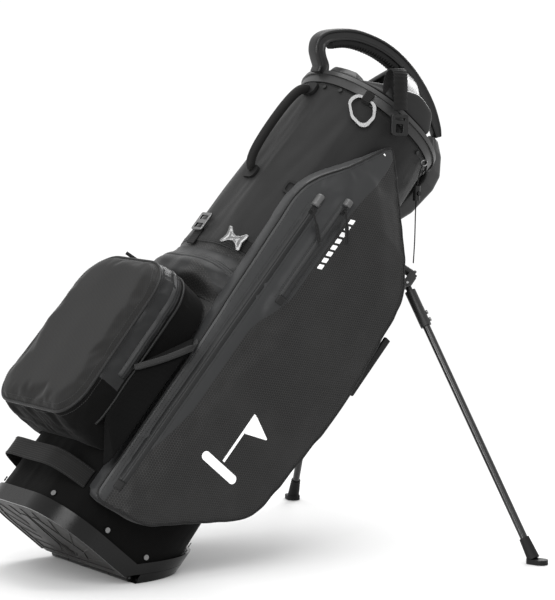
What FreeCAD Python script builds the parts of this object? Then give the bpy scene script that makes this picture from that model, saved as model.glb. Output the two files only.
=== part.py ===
"""Golf stand bag, modelled upright about its own axis and then leaned onto its heel and legs.

Upright frame, millimetres: X towards the legs, Y across the bag (the near side is -Y), Z up the axis.
Every node is built upright and placed by place(), which leans the bag and puts the origin at the
centre of the heel's ground face.
"""
import FreeCAD, Part
import math
import os

V = FreeCAD.Vector

# driving dimensions
LEAN = 41.0                 # angle of the bag's axis from the vertical when the legs are out
KNEE_X = 50.0               # where the sole turns up into the heel
# the fabric tube's section at four heights: half depth, half width, corner radius, height, centre
STATIONS = [(124.0, 120.5, 78.0, 0.0, 6.0), (120.0, 119.5, 84.0, 300.0, 3.0),
            (114.5, 116.0, 95.0, 600.0, 0.0), (113.0, 114.0, 108.0, 800.0, 0.0)]
BOOT_STEP = 4.5             # how far the moulded base stands out from the fabric
FABRIC = 2.5                # thickness of the fabric and its lining
BOOT_WALL = 3.7
BOOT_HEIGHT = 26.0
FLAP_THICKNESS = 12.0
PIN_HEIGHT = 6.0            # heel hinge pin above both ground faces
COLLAR_BOTTOM = STATIONS[3][3]
COLLAR_TOP = 820.0
POCKET_FACE_Y = 155.0       # outer face of the side pockets
BALL_FACE_X = 194.0         # outer face of the ball pocket
LEG_PIVOT = V(162.0, -102.0, 632.0)
LEG_FOOT = V(484.0, -327.0, 377.2)      # centre of the near foot's ground face
LEG_RADIUS = 5.75
FOLDED_LEG = V(-0.030, 0.060, -1.0)     # direction of the near leg when folded
TAPER_START = 640.0         # height where the side pockets start to thin out
GAP = 0.4                   # running clearance between moving bodies
LONG_ZIP_X = -70.0          # the two zips on the near pocket's face
SHORT_ZIP_X = -35.0
# route of the retaining cord from its ring at the mouth to the leg bracket
CORD_ROUTE = [(63.3, -104.9, 783.9), (72, -101, 767), (86, -99.5, 749), (101, -98.5, 730), (118, -99, 709),
              (135, -100, 687), (151, -101, 664)]
CORD_RADIUS = 1.0

SIN = math.sin(math.radians(LEAN))
COS = math.cos(math.radians(LEAN))
HEEL_LENGTH = (STATIONS[0][0] + STATIONS[0][4] + BOOT_STEP - KNEE_X) / COS
ORIGIN = V(-KNEE_X * COS - HEEL_LENGTH / 2, 0, KNEE_X * SIN)
HINGE = V(KNEE_X + PIN_HEIGHT * (1 - 1 / COS) / math.tan(math.radians(LEAN)), 0, PIN_HEIGHT)

os.makedirs("parts", exist_ok=True)


# ---- helpers ----

def place(shape):
    leaned = shape.copy()
    leaned.rotate(V(0, 0, 0), V(0, 1, 0), LEAN)
    leaned.translate(ORIGIN)
    return leaned


def save(name, *shapes):
    solids = [solid for shape in shapes for solid in place(shape).Solids]
    group = solids[0] if len(solids) == 1 else Part.makeCompound(solids)
    group.exportStep("parts/" + name + ".step")


def save_pair(name, near):
    save("near_" + name, near)
    save("far_" + name, mirrored(near))


def mirrored(shape):
    return shape.mirror(V(0, 0, 0), V(0, 1, 0))


def both_sides(shape):
    return Part.makeCompound(shape.Solids + mirrored(shape).Solids)


def box(x0, x1, y0, y1, z0, z1):
    return Part.makeBox(x1 - x0, y1 - y0, z1 - z0, V(x0, y0, z0))


def rod(start, end, radius):
    return Part.makeCylinder(radius, (end - start).Length, start, end - start)


def fused(first, *others):
    return first.fuse(list(others)).removeSplitter()


def corner(before, point, after, radius):
    """Tangent points and middle point of the arc that rounds one corner."""
    a = (before - point).normalize()
    b = (after - point).normalize()
    half = a.getAngle(b) / 2
    reach = min(radius / math.tan(half), 0.48 * (before - point).Length, 0.48 * (after - point).Length)
    radius = reach * math.tan(half)
    bisector = (a + b).normalize()
    middle = point + bisector * (radius / math.sin(half) - radius)
    return point + a * reach, middle, point + b * reach


def rounded_wire(points, radii):
    """A closed outline of straight runs joined by tangent arcs."""
    count = len(points)
    arcs = [corner(V(points[i - 1]), V(points[i]), V(points[(i + 1) % count]), radii[i])
            for i in range(count)]
    edges = []
    for i, (start, middle, end) in enumerate(arcs):
        edges.append(Part.Arc(start, middle, end).toShape())
        following = arcs[(i + 1) % count][0]
        if (following - end).Length > 1e-4:
            edges.append(Part.LineSegment(end, following).toShape())
    return Part.Wire(edges)


def slab_xz(outline, radius, y0, y1):
    """An outline of (x, z) points with rounded corners, extruded from y0 to y1."""
    radii = radius if isinstance(radius, list) else [radius] * len(outline)
    wire = rounded_wire([V(x, y0, z) for x, z in outline], radii)
    return Part.Face(wire).extrude(V(0, y1 - y0, 0))


def slab_yz(outline, radius, x0, x1):
    """An outline of (y, z) points with rounded corners, extruded from x0 to x1."""
    radii = radius if isinstance(radius, list) else [radius] * len(outline)
    wire = rounded_wire([V(x0, y, z) for y, z in outline], radii)
    return Part.Face(wire).extrude(V(x1 - x0, 0, 0))


def slab_xy(outline, radius, z0, z1):
    """An outline of (x, y) points with rounded corners, extruded from z0 to z1."""
    wire = rounded_wire([V(x, y, z0) for x, y in outline], [radius] * len(outline))
    return Part.Face(wire).extrude(V(0, 0, z1 - z0))


def ring_wire(half_x, half_y, radius, z, centre_x=0.0):
    """A rounded rectangle across the bag's axis."""
    corners = [(1, 1), (-1, 1), (-1, -1), (1, -1)]
    points = [V(centre_x + sx * half_x, sy * half_y, z) for sx, sy in corners]
    return rounded_wire(points, [radius] * 4)


def bend_radius(before, point, after):
    shorter = min((before - point).Length, (after - point).Length)
    turn = math.pi - (before - point).getAngle(after - point)
    return 0.45 * shorter / math.tan(turn / 2)


def tube_path(path_points):
    """Straight runs joined by tangent arcs, each as large as its two runs allow."""
    points = [V(p) for p in path_points]
    edges = []
    at = points[0]
    for before, point, after in zip(points, points[1:], points[2:]):
        start, middle, end = corner(before, point, after, bend_radius(before, point, after))
        edges.append(Part.LineSegment(at, start).toShape())
        edges.append(Part.Arc(start, middle, end).toShape())
        at = end
    edges.append(Part.LineSegment(at, points[-1]).toShape())
    return Part.Wire(edges)


def tube(path_points, radius):
    points = [V(p) for p in path_points]
    path = tube_path(path_points)
    profile = Part.Wire([Part.Circle(points[0], points[1] - points[0], radius).toShape()])
    return path.makePipeShell([profile], True, False)


def above(sole, heel):
    """Everything above the sole face offset by one amount and the heel face offset by another."""
    slope = SIN / COS
    knee = KNEE_X + (sole - heel / COS) / slope
    far = 400.0
    points = [V(-far, -far, sole), V(knee, -far, sole), V(far, -far, slope * (far - KNEE_X) + heel / COS),
              V(far, -far, 1500), V(-far, -far, 1500), V(-far, -far, sole)]
    return Part.Face(Part.makePolygon(points)).extrude(V(0, 2 * far, 0))


def between(sole_low, heel_low, sole_high, heel_high):
    return above(sole_low, heel_low).cut(above(sole_high, heel_high))


def body_loft(grow):
    """The outer shape of the fabric tube, grown outward by the given amount."""
    wires = [ring_wire(x + grow, y + grow, r + grow, z, centre) for x, y, r, z, centre in STATIONS]
    return Part.makeLoft(wires, True, False)


BODY = body_loft(0)
BODY_CLEAR = body_loft(0.4)


def section(z):
    """Half depth, half width, corner radius and centre of the fabric tube at one height."""
    for low, high in zip(STATIONS, STATIONS[1:]):
        if z <= high[3]:
            break
    share = (z - low[3]) / (high[3] - low[3])
    half_x, half_y, radius, _, centre = [p + (q - p) * share for p, q in zip(low, high)]
    return half_x, half_y, radius, centre


def skin(angle, z, out=0.0):
    """Point and outward normal on the fabric tube at one polar angle (0 is the leg side)."""
    half_x, half_y, radius, centre = section(z)
    dx, dy = math.cos(math.radians(angle)), math.sin(math.radians(angle))
    low, high = 0.0, 200.0
    for _ in range(40):
        middle = (low + high) / 2
        over_x = abs(dx * middle) - (half_x - radius)
        over_y = abs(dy * middle) - (half_y - radius)
        distance = math.hypot(max(over_x, 0), max(over_y, 0)) + min(max(over_x, over_y), 0) - radius
        low, high = (middle, high) if distance < 0 else (low, middle)
    normal = V(math.copysign(max(over_x, 0), dx), math.copysign(max(over_y, 0), dy), 0).normalize()
    return V(centre + dx * low, dy * low, z) + normal * out, normal


def layer(gap, thickness):
    """A coat of material lying over the fabric tube."""
    return body_loft(gap + thickness).cut(body_loft(gap))


def stud(angle, z, radius, out, height):
    point, normal = skin(angle, z, out)
    return Part.makeCylinder(radius, height, point, normal)


def aligned_box(centre, normal, width, depth, height):
    """A block with its depth along a horizontal normal, its width across it and its height up the axis."""
    block = box(-width / 2, width / 2, 0, depth, -height / 2, height / 2)
    block.rotate(V(0, 0, 0), V(0, 0, 1), math.degrees(math.atan2(normal.y, normal.x)) - 90)
    block.translate(centre)
    return block


# ---- base ----

def base_ring(grow, z0, z1):
    """The base's outline grown outward, as a straight block between two heights."""
    half_x, half_y, radius, _, centre = STATIONS[0]
    wires = [ring_wire(half_x + grow, half_y + grow, radius + grow, z, centre) for z in (z0, z1)]
    return Part.makeLoft(wires, True, True)


def boot_outer():
    return base_ring(BOOT_STEP, 0, 160)


def across_hinge(y0, y1, radius):
    return rod(V(HINGE.x, y0, HINGE.z), V(HINGE.x, y1, HINGE.z), radius)


def base_boot():
    heel_low = FLAP_THICKNESS + GAP
    wall = boot_outer().cut(base_ring(BOOT_STEP - BOOT_WALL, -1, 161))
    wall = wall.common(between(0, heel_low, BOOT_HEIGHT, BOOT_HEIGHT + 2))
    floor = boot_outer().common(between(4, heel_low, 8, heel_low + 4))
    shell = fused(wall, floor).cut(across_hinge(-200, 200, 6.6))
    knuckles = [across_hinge(-112, -62, 5.6), across_hinge(62, 112, 5.6)]
    webs = [box(HINGE.x - 9, HINGE.x - 1, -112, -62, 4, 8), box(HINGE.x - 9, HINGE.x - 1, 62, 112, 4, 8)]
    rod_slot = box(86, 118, -16, 16, 20, 130)
    return fused(shell, *knuckles, *webs).cut(across_hinge(-200, 200, 2.2)).cut(rod_slot)


def heel_flap():
    plate = boot_outer().common(between(0, 0, -5, FLAP_THICKNESS))
    plate = plate.common(box(KNEE_X + 2, 200, -200, 200, 0, 200))
    plate = plate.cut(across_hinge(-200, -61, 6.2)).cut(across_hinge(61, 200, 6.2))
    arm = slab_xz([(HINGE.x, 1.2), (KNEE_X + 8, 7.5), (KNEE_X + 8, 15), (HINGE.x, 10)], 0.5, -58, 58)
    lug = slab_xz([(96, 50), (110, 62), (110, 82), (96, 76)], 2, -7, 7)
    return fused(plate, across_hinge(-60, 60, 5.6), arm, lug).cut(across_hinge(-200, 200, 2.2))


def tread_plate():
    """The sole's insert: a rim, a fan of ribs and two raised blades, all no lower than the rim."""
    slab = base_ring(-3, 0.8, 3.9).common(box(-200, 36, -200, 200, 0, 10))
    groove = base_ring(-12, 0, 2).common(box(-200, 24, -200, 200, 0, 10))
    rib_angles = [math.radians(100 + 16 * i) for i in range(11)]
    ribs = [rod(V(20, 0, 1.95), V(20 + 150 * math.cos(a), 150 * math.sin(a), 1.95), 1.1) for a in rib_angles]
    ribs = [rib.common(groove) for rib in ribs]
    blades = [slab_xy([(-84, 6), (-84, 26), (-10, 62), (16, 40), (-6, 16)], 3, 0.9, 2.4)]
    blades.append(mirrored(blades[0]))
    return fused(slab.cut(groove), *ribs, *blades)


def boot_rivets():
    heads = []
    for angle in (212, 252, 288, 326):
        x = skin(angle, 30)[0].x
        z = max(BOOT_HEIGHT, (x - KNEE_X) * SIN / COS + (BOOT_HEIGHT + 2) / COS) + 10
        heads.append(stud(angle, z, 4, 0.6, 2.2).cut(BODY_CLEAR))
    return both_sides(Part.makeCompound(heads))


# ---- body and mouth ----

def body_panel(x_side, y_side):
    """One of the four long fabric panels that are sewn edge to edge into the tube."""
    wall = body_loft(-0.8).cut(body_loft(-0.8 - FABRIC))
    wall = wall.common(above(8.4, 17)).common(box(-300, 300, -300, 300, 0, COLLAR_BOTTOM - 0.3))
    x0, x1 = (0, 300) if x_side > 0 else (-300, 0)
    y0, y1 = (0, 300) if y_side > 0 else (-300, 0)
    return wall.common(box(x0, x1, y0, y1, 0, 900))


def divider_panels():
    """Two full-length fabric walls crossing on the axis, which make four club wells."""
    inside = body_loft(-4.2).common(above(14, 24)).common(box(-300, 300, -300, 300, 0, 772))
    along = box(-200, 200, -1, 1, 0, 900)
    across = box(-1, 1, -200, 200, 0, 900)
    return inside.common(fused(along, across)).cut(box(90, 130, -20, 20, 0, 900))


def top_collar():
    skirt = body_loft(-4.2).cut(body_loft(-6.5)).common(box(-200, 200, -200, 200, 774, 799.9))
    band = Part.makeLoft([ring_wire(115, 116, 109, COLLAR_BOTTOM), ring_wire(116, 117, 110, 813)], True, True)
    lip = Part.makeLoft([ring_wire(118.5, 119.5, 112, 813), ring_wire(118, 119, 112, COLLAR_TOP)], True, True)
    hole = Part.makeLoft([ring_wire(105, 106, 99, z) for z in (700, 900)], True, True)
    seat = Part.makeLoft([ring_wire(110, 111, 104, z) for z in (799.9, 800.1)], True, True)
    return fused(skirt, band.cut(hole), lip.cut(hole), seat.cut(hole))


def divider_cross():
    """Padded bars that top the four wells."""
    bars = fused(box(-104.6, 104.6, -6, 6, 776, 798), box(-6, 6, -105.6, 105.6, 776, 798))
    inside = Part.makeLoft([ring_wire(104.5, 105.5, 99, z) for z in (700, 900)], True, True)
    return bars.common(inside)


def rim_pad():
    low = ring_wire(118, 119, 112, COLLAR_TOP + 0.05)
    high = ring_wire(113, 114, 107, 833)
    hole = Part.makeLoft([ring_wire(97, 98, 90, z) for z in (700, 900)], True, True)
    crown = Part.makeLoft([low, high], True, True).cut(hole)
    side = slab_yz([(-78, 810), (-60, 834), (60, 834), (78, 810)], 2, -200, -60)
    post_room = box(-200, -60, -17, 17, 800, 900)
    return crown.common(side).cut(post_room)


def collar_rivets():
    heads = [stud(angle, z, 3.2, 1.8 if z > COLLAR_BOTTOM else 0.2, 2)
             for angle, z in [(194, 792), (209, 794), (236, 796), (262, 788), (290, 792), (318, 790)]]
    return both_sides(Part.makeCompound(heads))


def stay_rods():
    """Two stiff rods that hold the collar above the base, inside the fabric on the spine side."""
    return both_sides(rod(V(-88, -52, 8.2), V(-88, -52, 773), 4))


# ---- carrying handles ----

def handle_frame():
    """The moulded loop over the mouth: a rear post, an arch, two side arms and a front strip."""
    outline = [(-108, 820.3), (-131, 820.3), (-156, 832), (-161, 850), (-151, 870), (-116, 902), (-73, 921),
               (-31, 930), (21, 930), (68, 918), (101, 902), (121, 887), (113, 878), (74, 896), (32, 908),
               (-10, 903), (-52, 895), (-94, 879), (-126, 857), (-138, 843), (-124, 832)]
    narrowed = both_sides(box(26, 200, 8, 20, 850, 960))
    arch = slab_xz(outline, 5, -12, 12).cut(narrowed)
    diagonal = [(-2, 925), (-40, 896), (-86, 852), (-117, 820.3), (-106, 820.3), (-78, 846), (-36, 882),
                (-2, 906)]
    near_arm = slab_yz(diagonal, 3, -16, 24)
    fairing = [(-94, 820.3), (-66, 840), (-40, 850), (-16, 862), (24, 854), (36, 820.3)]
    root = mouth_ring(118, 106, 820.3, 880).common(slab_xz(fairing, 4, -200, -60))
    return fused(arch, near_arm, mirrored(near_arm), root, mirrored(root))


def mouth_block(half_depth, z0, z1):
    wires = [ring_wire(half_depth, half_depth + 1, half_depth - 6, z) for z in (z0, z1)]
    return Part.makeLoft(wires, True, True)


def mouth_ring(outer, inner, z0, z1):
    """A plain ring the size of the mouth."""
    return mouth_block(outer, z0, z1).cut(mouth_block(inner, z0 - 1, z1 + 1))


def handle_grip():
    """Ribbed soft grip under the arch."""
    outline = [(-124, 858.2), (-94, 878.4), (-52, 894.4), (-14, 901.8), (-14, 897), (-50, 889), (-91, 873),
               (-119, 855)]
    return slab_xz(outline, 1.2, -10.5, 10.5).cut(handle_frame())


def leg_side_shield():
    """The moulded shell between the mouth and the legs, which carries the handle's front strip."""
    sections = [(112.5, 128, 26, 712), (112.5, 142, 34, 750), (119.8, 148, 38, 800), (119.8, 147, 34, 826),
                (112, 136, 22, 856), (106, 121, 9, 876)]
    wires = [rounded_wire([V(x1, y, z), V(x0, y, z), V(x0, -y, z), V(x1, -y, z)], [min(8, y / 2)] * 4)
             for x0, x1, y, z in sections]
    return Part.makeLoft(wires, True, True).cut(body_loft(0.6)).cut(box(0, 119.8, -200, 200, 790, 822))


def spine_handle():
    """Padded carry handle on the spine side, which dives under a rubber plate at each end."""
    route = [(-119, 0, 784), (-131, 0, 768), (-135, 0, 740), (-136, 0, 700), (-134, 0, 662), (-130, 0, 638),
             (-119, 0, 622)]
    return tube(route, 7.5).common(box(-300, -118.6, -60, 60, 500, 900))


def spine_handle_anchors():
    """Rounded rubber plates at both ends of the carry handle."""
    plates = [slab_yz([(-16, z - 11), (16, z - 11), (16, z + 11), (-16, z + 11)], 9, -118.4, -114)
              for z in (784, 621)]
    return Part.makeCompound([plate.cut(BODY_CLEAR) for plate in plates])


def base_webbing_handle():
    """Wide webbing grab loop low on the spine side."""
    outline = [(-92, -104.5), (-146, -74), (-146, 74), (-92, 104.5), (-92, 96), (-142.5, 71), (-142.5, -71),
               (-92, -96)]
    return slab_xy(outline, 1.2, 64, 94).cut(BODY_CLEAR)


# ---- pockets ----

def arched(bottom, top, half_low, half_high, x):
    """The ball pocket's outline at one depth: square shoulders below and an arch above."""
    points = [(-half_low, bottom), (half_low, bottom), (half_high, top), (-half_high, top)]
    return rounded_wire([V(x, y, z) for y, z in points], [46, 46, 62, 62])


def ball_pocket():
    wires = [arched(120, 400, 126, 114, -66), arched(120, 400, 126, 114, -150),
             arched(124, 397, 122, 110, 9 - BALL_FACE_X), arched(134, 386, 112, 100, -BALL_FACE_X)]
    pocket = Part.makeLoft(wires, True, True).cut(BODY_CLEAR)
    return pocket.cut(box(-144.5, 0, -200, -118, 0, 500)).cut(box(-96.5, 0, -200, -60, 0, 500))


def ball_pocket_zip():
    """The zip around the lid, from one side over the top to the other."""
    outer_ring = Part.makeLoft([arched(118, 402, 128, 116, x) for x in (-156, -148)], True)
    inner_ring = Part.makeLoft([arched(120, 400, 126, 114, x) for x in (-157, -147)], True)
    return outer_ring.cut(inner_ring).cut(ball_pocket()).common(box(-300, 0, -200, 200, 215, 500))


def ball_zip_pull():
    """Slider and cord pull of the ball pocket's zip, at the middle of its top run."""
    slider = box(-156, -148, 12, 22, 402.2, 405)
    cord = rod(V(-153, 17, 403.6), V(-172, 30, 404.6), 1.2)
    grip = rod(V(-170, 29, 404.6), V(-186, 40, 405), 2.6)
    return fused(slider, cord, grip)


def valuables_pocket():
    outline = [(-84, 405), (84, 405), (80, 458), (-80, 458)]
    wires = [rounded_wire([V(x, y * share, 432 + (z - 432) * share) for y, z in outline], [20] * 4)
             for x, share in [(-70, 1.0), (-122, 0.97), (-133, 0.8)]]
    return Part.makeLoft(wires, True, True).cut(BODY_CLEAR)


def stretch_pocket():
    """Elastic side pocket across the corner between the ball pocket and the apparel pocket."""
    corner_plan = slab_xy([(-144, -118.6), (-144, -129), (-108, -150), (-96, -118.6)], 1, 60, 400)
    side = slab_xz([(-146, 162), (-96, 100), (-96, 336), (-146, 250)], 2, -200, 0)
    return corner_plan.common(side).cut(BODY_CLEAR).cut(apparel_pocket(POCKET_FACE_Y + 0.5))


def stretch_binding():
    """Folded tape along the open top of the stretch pocket."""
    plan = slab_xy([(-144, -129.4), (-144, -131.4), (-110, -151.2), (-110, -149.2)], 0.3, 60, 400)
    side = slab_xz([(-146, 248), (-96, 334), (-96, 326), (-146, 240)], 0.5, -200, 0)
    return plan.common(side)


def apparel_pocket(face_y):
    """Full-height side pocket: thin along the spine, thick along the legs and thinning to the top."""
    outline = [(-90, 54), (-6, 66), (139, 180), (161, 400), (142, 592), (-8, 770), (-102, 622), (-92, 300)]
    block = slab_xz(outline, [14, 70, 76, 300, 90, 7, 120, 400], -face_y, -60)
    block = block.cut(BODY_CLEAR).cut(box(88, 300, -100, 0, 0, 900)).cut(box(-300, -60, -96, 0, 0, 900))
    top = Part.makePolygon([V(-300, -400, TAPER_START), V(-300, -face_y, TAPER_START), V(-300, -118.5, 775),
                            V(-300, -118.5, 900), V(-300, -400, 900), V(-300, -400, TAPER_START)])
    rear = Part.makePolygon([V(-192, -face_y + 79, 0), V(-40, -face_y, 0), V(-40, -400, 0), V(-300, -400, 0),
                             V(-300, -face_y + 79, 0), V(-192, -face_y + 79, 0)])
    block = block.cut(Part.Face(top).extrude(V(600, 0, 0)))
    return block.cut(Part.Face(rear).extrude(V(0, 0, 900)))


def far_pocket():
    """Slimmer pocket on the far side, kept towards the legs."""
    return mirrored(apparel_pocket(137.0)).cut(box(-300, -28, 0, 300, 0, 900))


def on_zip_face(x, out):
    """A point on the pocket's face at one x, and the face's outward normal there."""
    if x > -40:
        return V(x, -POCKET_FACE_Y - out, 0), V(0, -1, 0)
    slope = 79.0 / 152.0
    normal = V(-slope, -1, 0).normalize()
    return V(x, -POCKET_FACE_Y + slope * (-40 - x), 0) + normal * out, normal


def face_strip(x, z0, z1, width, out, depth):
    centre, normal = on_zip_face(x, out)
    return aligned_box(centre + V(0, 0, (z0 + z1) / 2), normal, width, depth, z1 - z0)


def near_pocket_zips():
    """Two welded zips along the outer face, parallel to the bag's axis."""
    return Part.makeCompound([face_strip(LONG_ZIP_X, 100, 600, 6, 0.1, 1.3),
                              face_strip(SHORT_ZIP_X, 460, 628, 6, 0.1, 1.3)])


def zip_hoods():
    """Moulded hoods that cover the sliders at the top of the two zips, and the stops at their feet."""
    tops = [face_strip(LONG_ZIP_X, 601, 620, 12, 0.1, 7), face_strip(SHORT_ZIP_X, 629, 639, 12, 0.1, 7)]
    feet = [face_strip(LONG_ZIP_X, 88, 99, 10, 0.1, 2.5), face_strip(SHORT_ZIP_X, 447, 459, 10, 0.1, 2.5)]
    return Part.makeCompound(tops + feet)


def zip_pull(x, z):
    """A slider with a cord and a moulded grip that hangs down the face while the bag leans."""
    base, normal = on_zip_face(x, 1.8)
    base = base + V(0, 0, z)
    slider = aligned_box(base, normal, 6, 3, 10)
    down = V(SIN, SIN * normal.x, -COS)
    start = base + normal * 5.5 + V(0, -1.6, 0)
    elbow = start + down * 22 + V(0, -2.5, 0)
    lace = rod(base + normal * 2, start, 1.3)
    cord = rod(start, elbow, 1.3)
    grip = rod(elbow - down * 1, elbow + down * 26, 3.0)
    ball = Part.makeSphere(1.3, start)
    return fused(slider, lace, ball, cord, grip)


def pocket_tab():
    """Narrow stiffened tab along the leg edge of the near pocket."""
    return box(163.6, 174, -136, -130, 430, 535)


def emblem():
    """Generic badge: a flag on its stick over a round green, as flat raised pieces."""
    y0, y1 = -POCKET_FACE_Y - 1.2, -POCKET_FACE_Y - 0.1
    stick = box(38, 42, y0, y1, 216, 300)
    flag = slab_xz([(42.05, 268), (42.05, 300), (82, 284)], 1.5, y0, y1)
    green = slab_xz([(4, 198), (76, 198), (76, 212), (4, 212)], 6.9, y0, y1)
    return Part.makeCompound([stick, flag, green])


def dash_band():
    """A row of slanted dashes beside the short zip."""
    y0, y1 = -POCKET_FACE_Y - 1.0, -POCKET_FACE_Y - 0.1
    return Part.makeCompound([slab_xz([(-16, z), (-8, z + 4), (-8, z + 12), (-16, z + 8)], 0.8, y0, y1)
                              for z in range(528, 624, 12)])


# ---- mouth hardware ----

def tangent_frame(angle, z, out):
    """Centre, along-the-skin direction and outward normal at one place on the tube."""
    centre, normal = skin(angle, z, out)
    return centre, V(-normal.y, normal.x, 0), normal


def on_skin(outline, radius, angle, z, out, depth):
    """An outline of (along, up) points laid on the tube and given a depth outward."""
    centre, along, normal = tangent_frame(angle, z, out)
    points = [centre + along * a + V(0, 0, up) for a, up in outline]
    return Part.Face(rounded_wire(points, [radius] * len(points))).extrude(normal * depth)


def towel_ring():
    """Teardrop ring with a straight bar."""
    teardrop = [(-17, 3), (-23, -16), (-4, -37), (24, -44), (27, -18), (17, 3)]
    hole = [(-12, -0.5), (-18, -16), (-3, -32), (19, -38.5), (22, -16), (12, -0.5)]
    outer = on_skin(teardrop, 13, 231, 797, 4.5, 3)
    inner = on_skin(hole, 11, 231, 797, 4, 4)
    centre, along, _ = tangent_frame(231, 797, 6)
    middle = centre + V(0, 0, 1.25)
    return fused(outer.cut(inner), rod(middle - along * 11, middle + along * 11, 1.8))


def towel_ring_loop():
    """Webbing that holds the ring's bar against the tube."""
    block = on_skin([(-7, -3.6), (7, -3.6), (7, 14), (-7, 14)], 1.0, 231, 797, 0.6, 9.2)
    room = on_skin([(-30, -1.8), (30, -1.8), (30, 4.3), (-30, 4.3)], 1.0, 231, 797, 3.2, 5.6)
    collar_room = Part.makeCylinder(119.9, 13, V(0, 0, 799.5))
    collar_room = collar_room.fuse(Part.makeCylinder(122.4, 30, V(0, 0, 812.5)))
    return block.cut(room).cut(BODY_CLEAR).cut(collar_room)


def rim_webbing():
    """Adjusting strap that hangs over the rim."""
    angle, out = 249, 5.4
    hang = on_skin([(-41, 845), (-23, 862), (15, 818), (-4, 803)], 1.0, angle, 0, out, 2.6)
    over = on_skin([(-39, 842.5), (-21, 859.5), (-27, 866), (-45, 849)], 1.0, angle, 0, -14, 22)
    return fused(hang, over)


def strap_buckle():
    """Side-release socket with two side windows, hanging on the strap."""
    angle, out = 249, 4.6
    plate = on_skin([(-6, 796), (18, 816), (38, 791), (14, 772)], 4, angle, 0, out, 6)
    window = on_skin([(9, 790), (20, 798), (28, 788), (17, 780)], 2, angle, 0, out - 1, 8)
    slot = on_skin([(1, 795.5), (17, 807.5), (19, 804.5), (3, 792.5)], 0.8, angle, 0, out - 1, 8)
    centre, along, _ = tangent_frame(angle, 0, out + 3)
    bar = rod(centre + along * -2 + V(0, 0, 797.5), centre + along * 15 + V(0, 0, 810.25), 2.2)
    return fused(plate.cut(window).cut(slot), bar)


def hip_webbing():
    """Two webbing tabs above the ball pocket, one on the near side and one on the spine."""
    near_tab = on_skin([(-6, -10), (10, -10), (10, 10), (-6, 10)], 1, 222, 500, 0.6, 2)
    rear_tab = on_skin([(-10, -26), (10, -26), (10, 4), (-10, 4)], 1, 168, 506, 0.6, 2)
    return Part.makeCompound([near_tab.cut(BODY_CLEAR), rear_tab.cut(BODY_CLEAR)])


def hip_buckles():
    """Metal hook buckle on the near tab and ladder adjuster on the spine tab."""
    plate = on_skin([(-38, -13), (-3, -13), (-3, 13), (-38, 13)], 4, 222, 500, 5.6, 5)
    slots = [on_skin([(a, -9), (a + 5, -9), (a + 5, 9), (a, 9)], 1, 222, 500, 5, 7) for a in (-33, -23, -11)]
    ladder = on_skin([(-14, -16), (14, -16), (14, 16), (-14, 16)], 3, 168, 518, 4.2, 4)
    rungs = [on_skin([(-10, u), (10, u), (10, u + 8), (-10, u + 8)], 1, 168, 518, 3, 7) for u in (-12, 3)]
    for slot in slots:
        plate = plate.cut(slot)
    for rung in rungs:
        ladder = ladder.cut(rung)
    return Part.makeCompound([plate, ladder])


def ring_patch():
    """Welded square ring patch on the upper near side."""
    outer = on_skin([(-11, -11), (11, -11), (11, 11), (-11, 11)], 6, 223.5, 615, 0.5, 1.6)
    return outer.cut(on_skin([(-7.5, -7.5), (7.5, -7.5), (7.5, 7.5), (-7.5, 7.5)], 4, 223.5, 615, 0.2, 3))


# ---- legs ----

def leg_directions():
    deployed = (LEG_FOOT - LEG_PIVOT).normalize()
    folded = V(FOLDED_LEG).normalize()
    return deployed, folded, deployed.cross(folded).normalize()


DEPLOYED, FOLDED, PIVOT_AXIS = leg_directions()
OUTWARD = V(DEPLOYED.x, DEPLOYED.y, 0).normalize()


def across_pivot(start, end, radius):
    return rod(LEG_PIVOT + PIVOT_AXIS * start, LEG_PIVOT + PIVOT_AXIS * end, radius)


def bracket_arm():
    """Tubular arm towards one leg, with the two cheeks that hold the pivot pin."""
    end = LEG_PIVOT + OUTWARD * 2 + V(0, 0, 18)
    arm = rod(end - OUTWARD * 78, end, 6.5)
    flare = rod(end - OUTWARD * 4, end, 8)
    pieces = [arm, flare]
    for start, stop in [(-9, -5.4), (5.4, 9)]:
        pieces.append(across_pivot(start, stop, 6.5))
        centre = LEG_PIVOT + PIVOT_AXIS * ((start + stop) / 2) + V(0, 0, 9)
        block = box(-6.4, 6.4, -(stop - start) / 2, (stop - start) / 2, -9, 9)
        block.rotate(V(0, 0, 0), V(0, 0, 1), math.degrees(math.atan2(PIVOT_AXIS.y, PIVOT_AXIS.x)) - 90)
        block.translate(centre)
        pieces.append(block)
    bridge = across_pivot(-9, 9, 4)
    bridge.translate(V(0, 0, 15))
    return fused(*pieces, bridge).cut(across_pivot(-20, 20, 2.2))


def leg_bracket():
    """Moulded cradle on the belly with an arm to each leg."""
    cradle = layer(0.6, 7).common(box(60, 200, -84, 84, 596, 668))
    near = bracket_arm()
    return fused(cradle, near, mirrored(near)).cut(BODY_CLEAR)


def leg_pivot_pins():
    return both_sides(across_pivot(-10.5, 10.5, 2))


def leg_springs():
    """Short coils beside each leg head, drawn as closely wound turns."""
    turns = [Part.makeTorus(5, 0.9, V(144, -80, 612 + 2.4 * i), V(0.3, -0.2, 1)) for i in range(5)]
    core = rod(V(144, -80, 607), V(144, -80, 627), 4.4)
    return both_sides(fused(core, *turns))


def leg_sleeve():
    """Moulded head on the pivot pin and the socket that takes the tube."""
    head = across_pivot(-5, 5, 6.4)
    neck = rod(LEG_PIVOT, LEG_PIVOT + DEPLOYED * 14, 4.8)
    socket = rod(LEG_PIVOT + DEPLOYED * 12, LEG_PIVOT + DEPLOYED * 72, 8.6)
    bore = rod(LEG_PIVOT + DEPLOYED * 24, LEG_PIVOT + DEPLOYED * 90, LEG_RADIUS + 0.05)
    sleeve = fused(head, neck, socket).cut(bore).cut(across_pivot(-20, 20, 2.2))
    for centre in bolt_centres():
        sleeve = sleeve.cut(rod(centre - bolt_direction() * 20, centre + bolt_direction() * 20, 1.6))
    return sleeve


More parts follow.
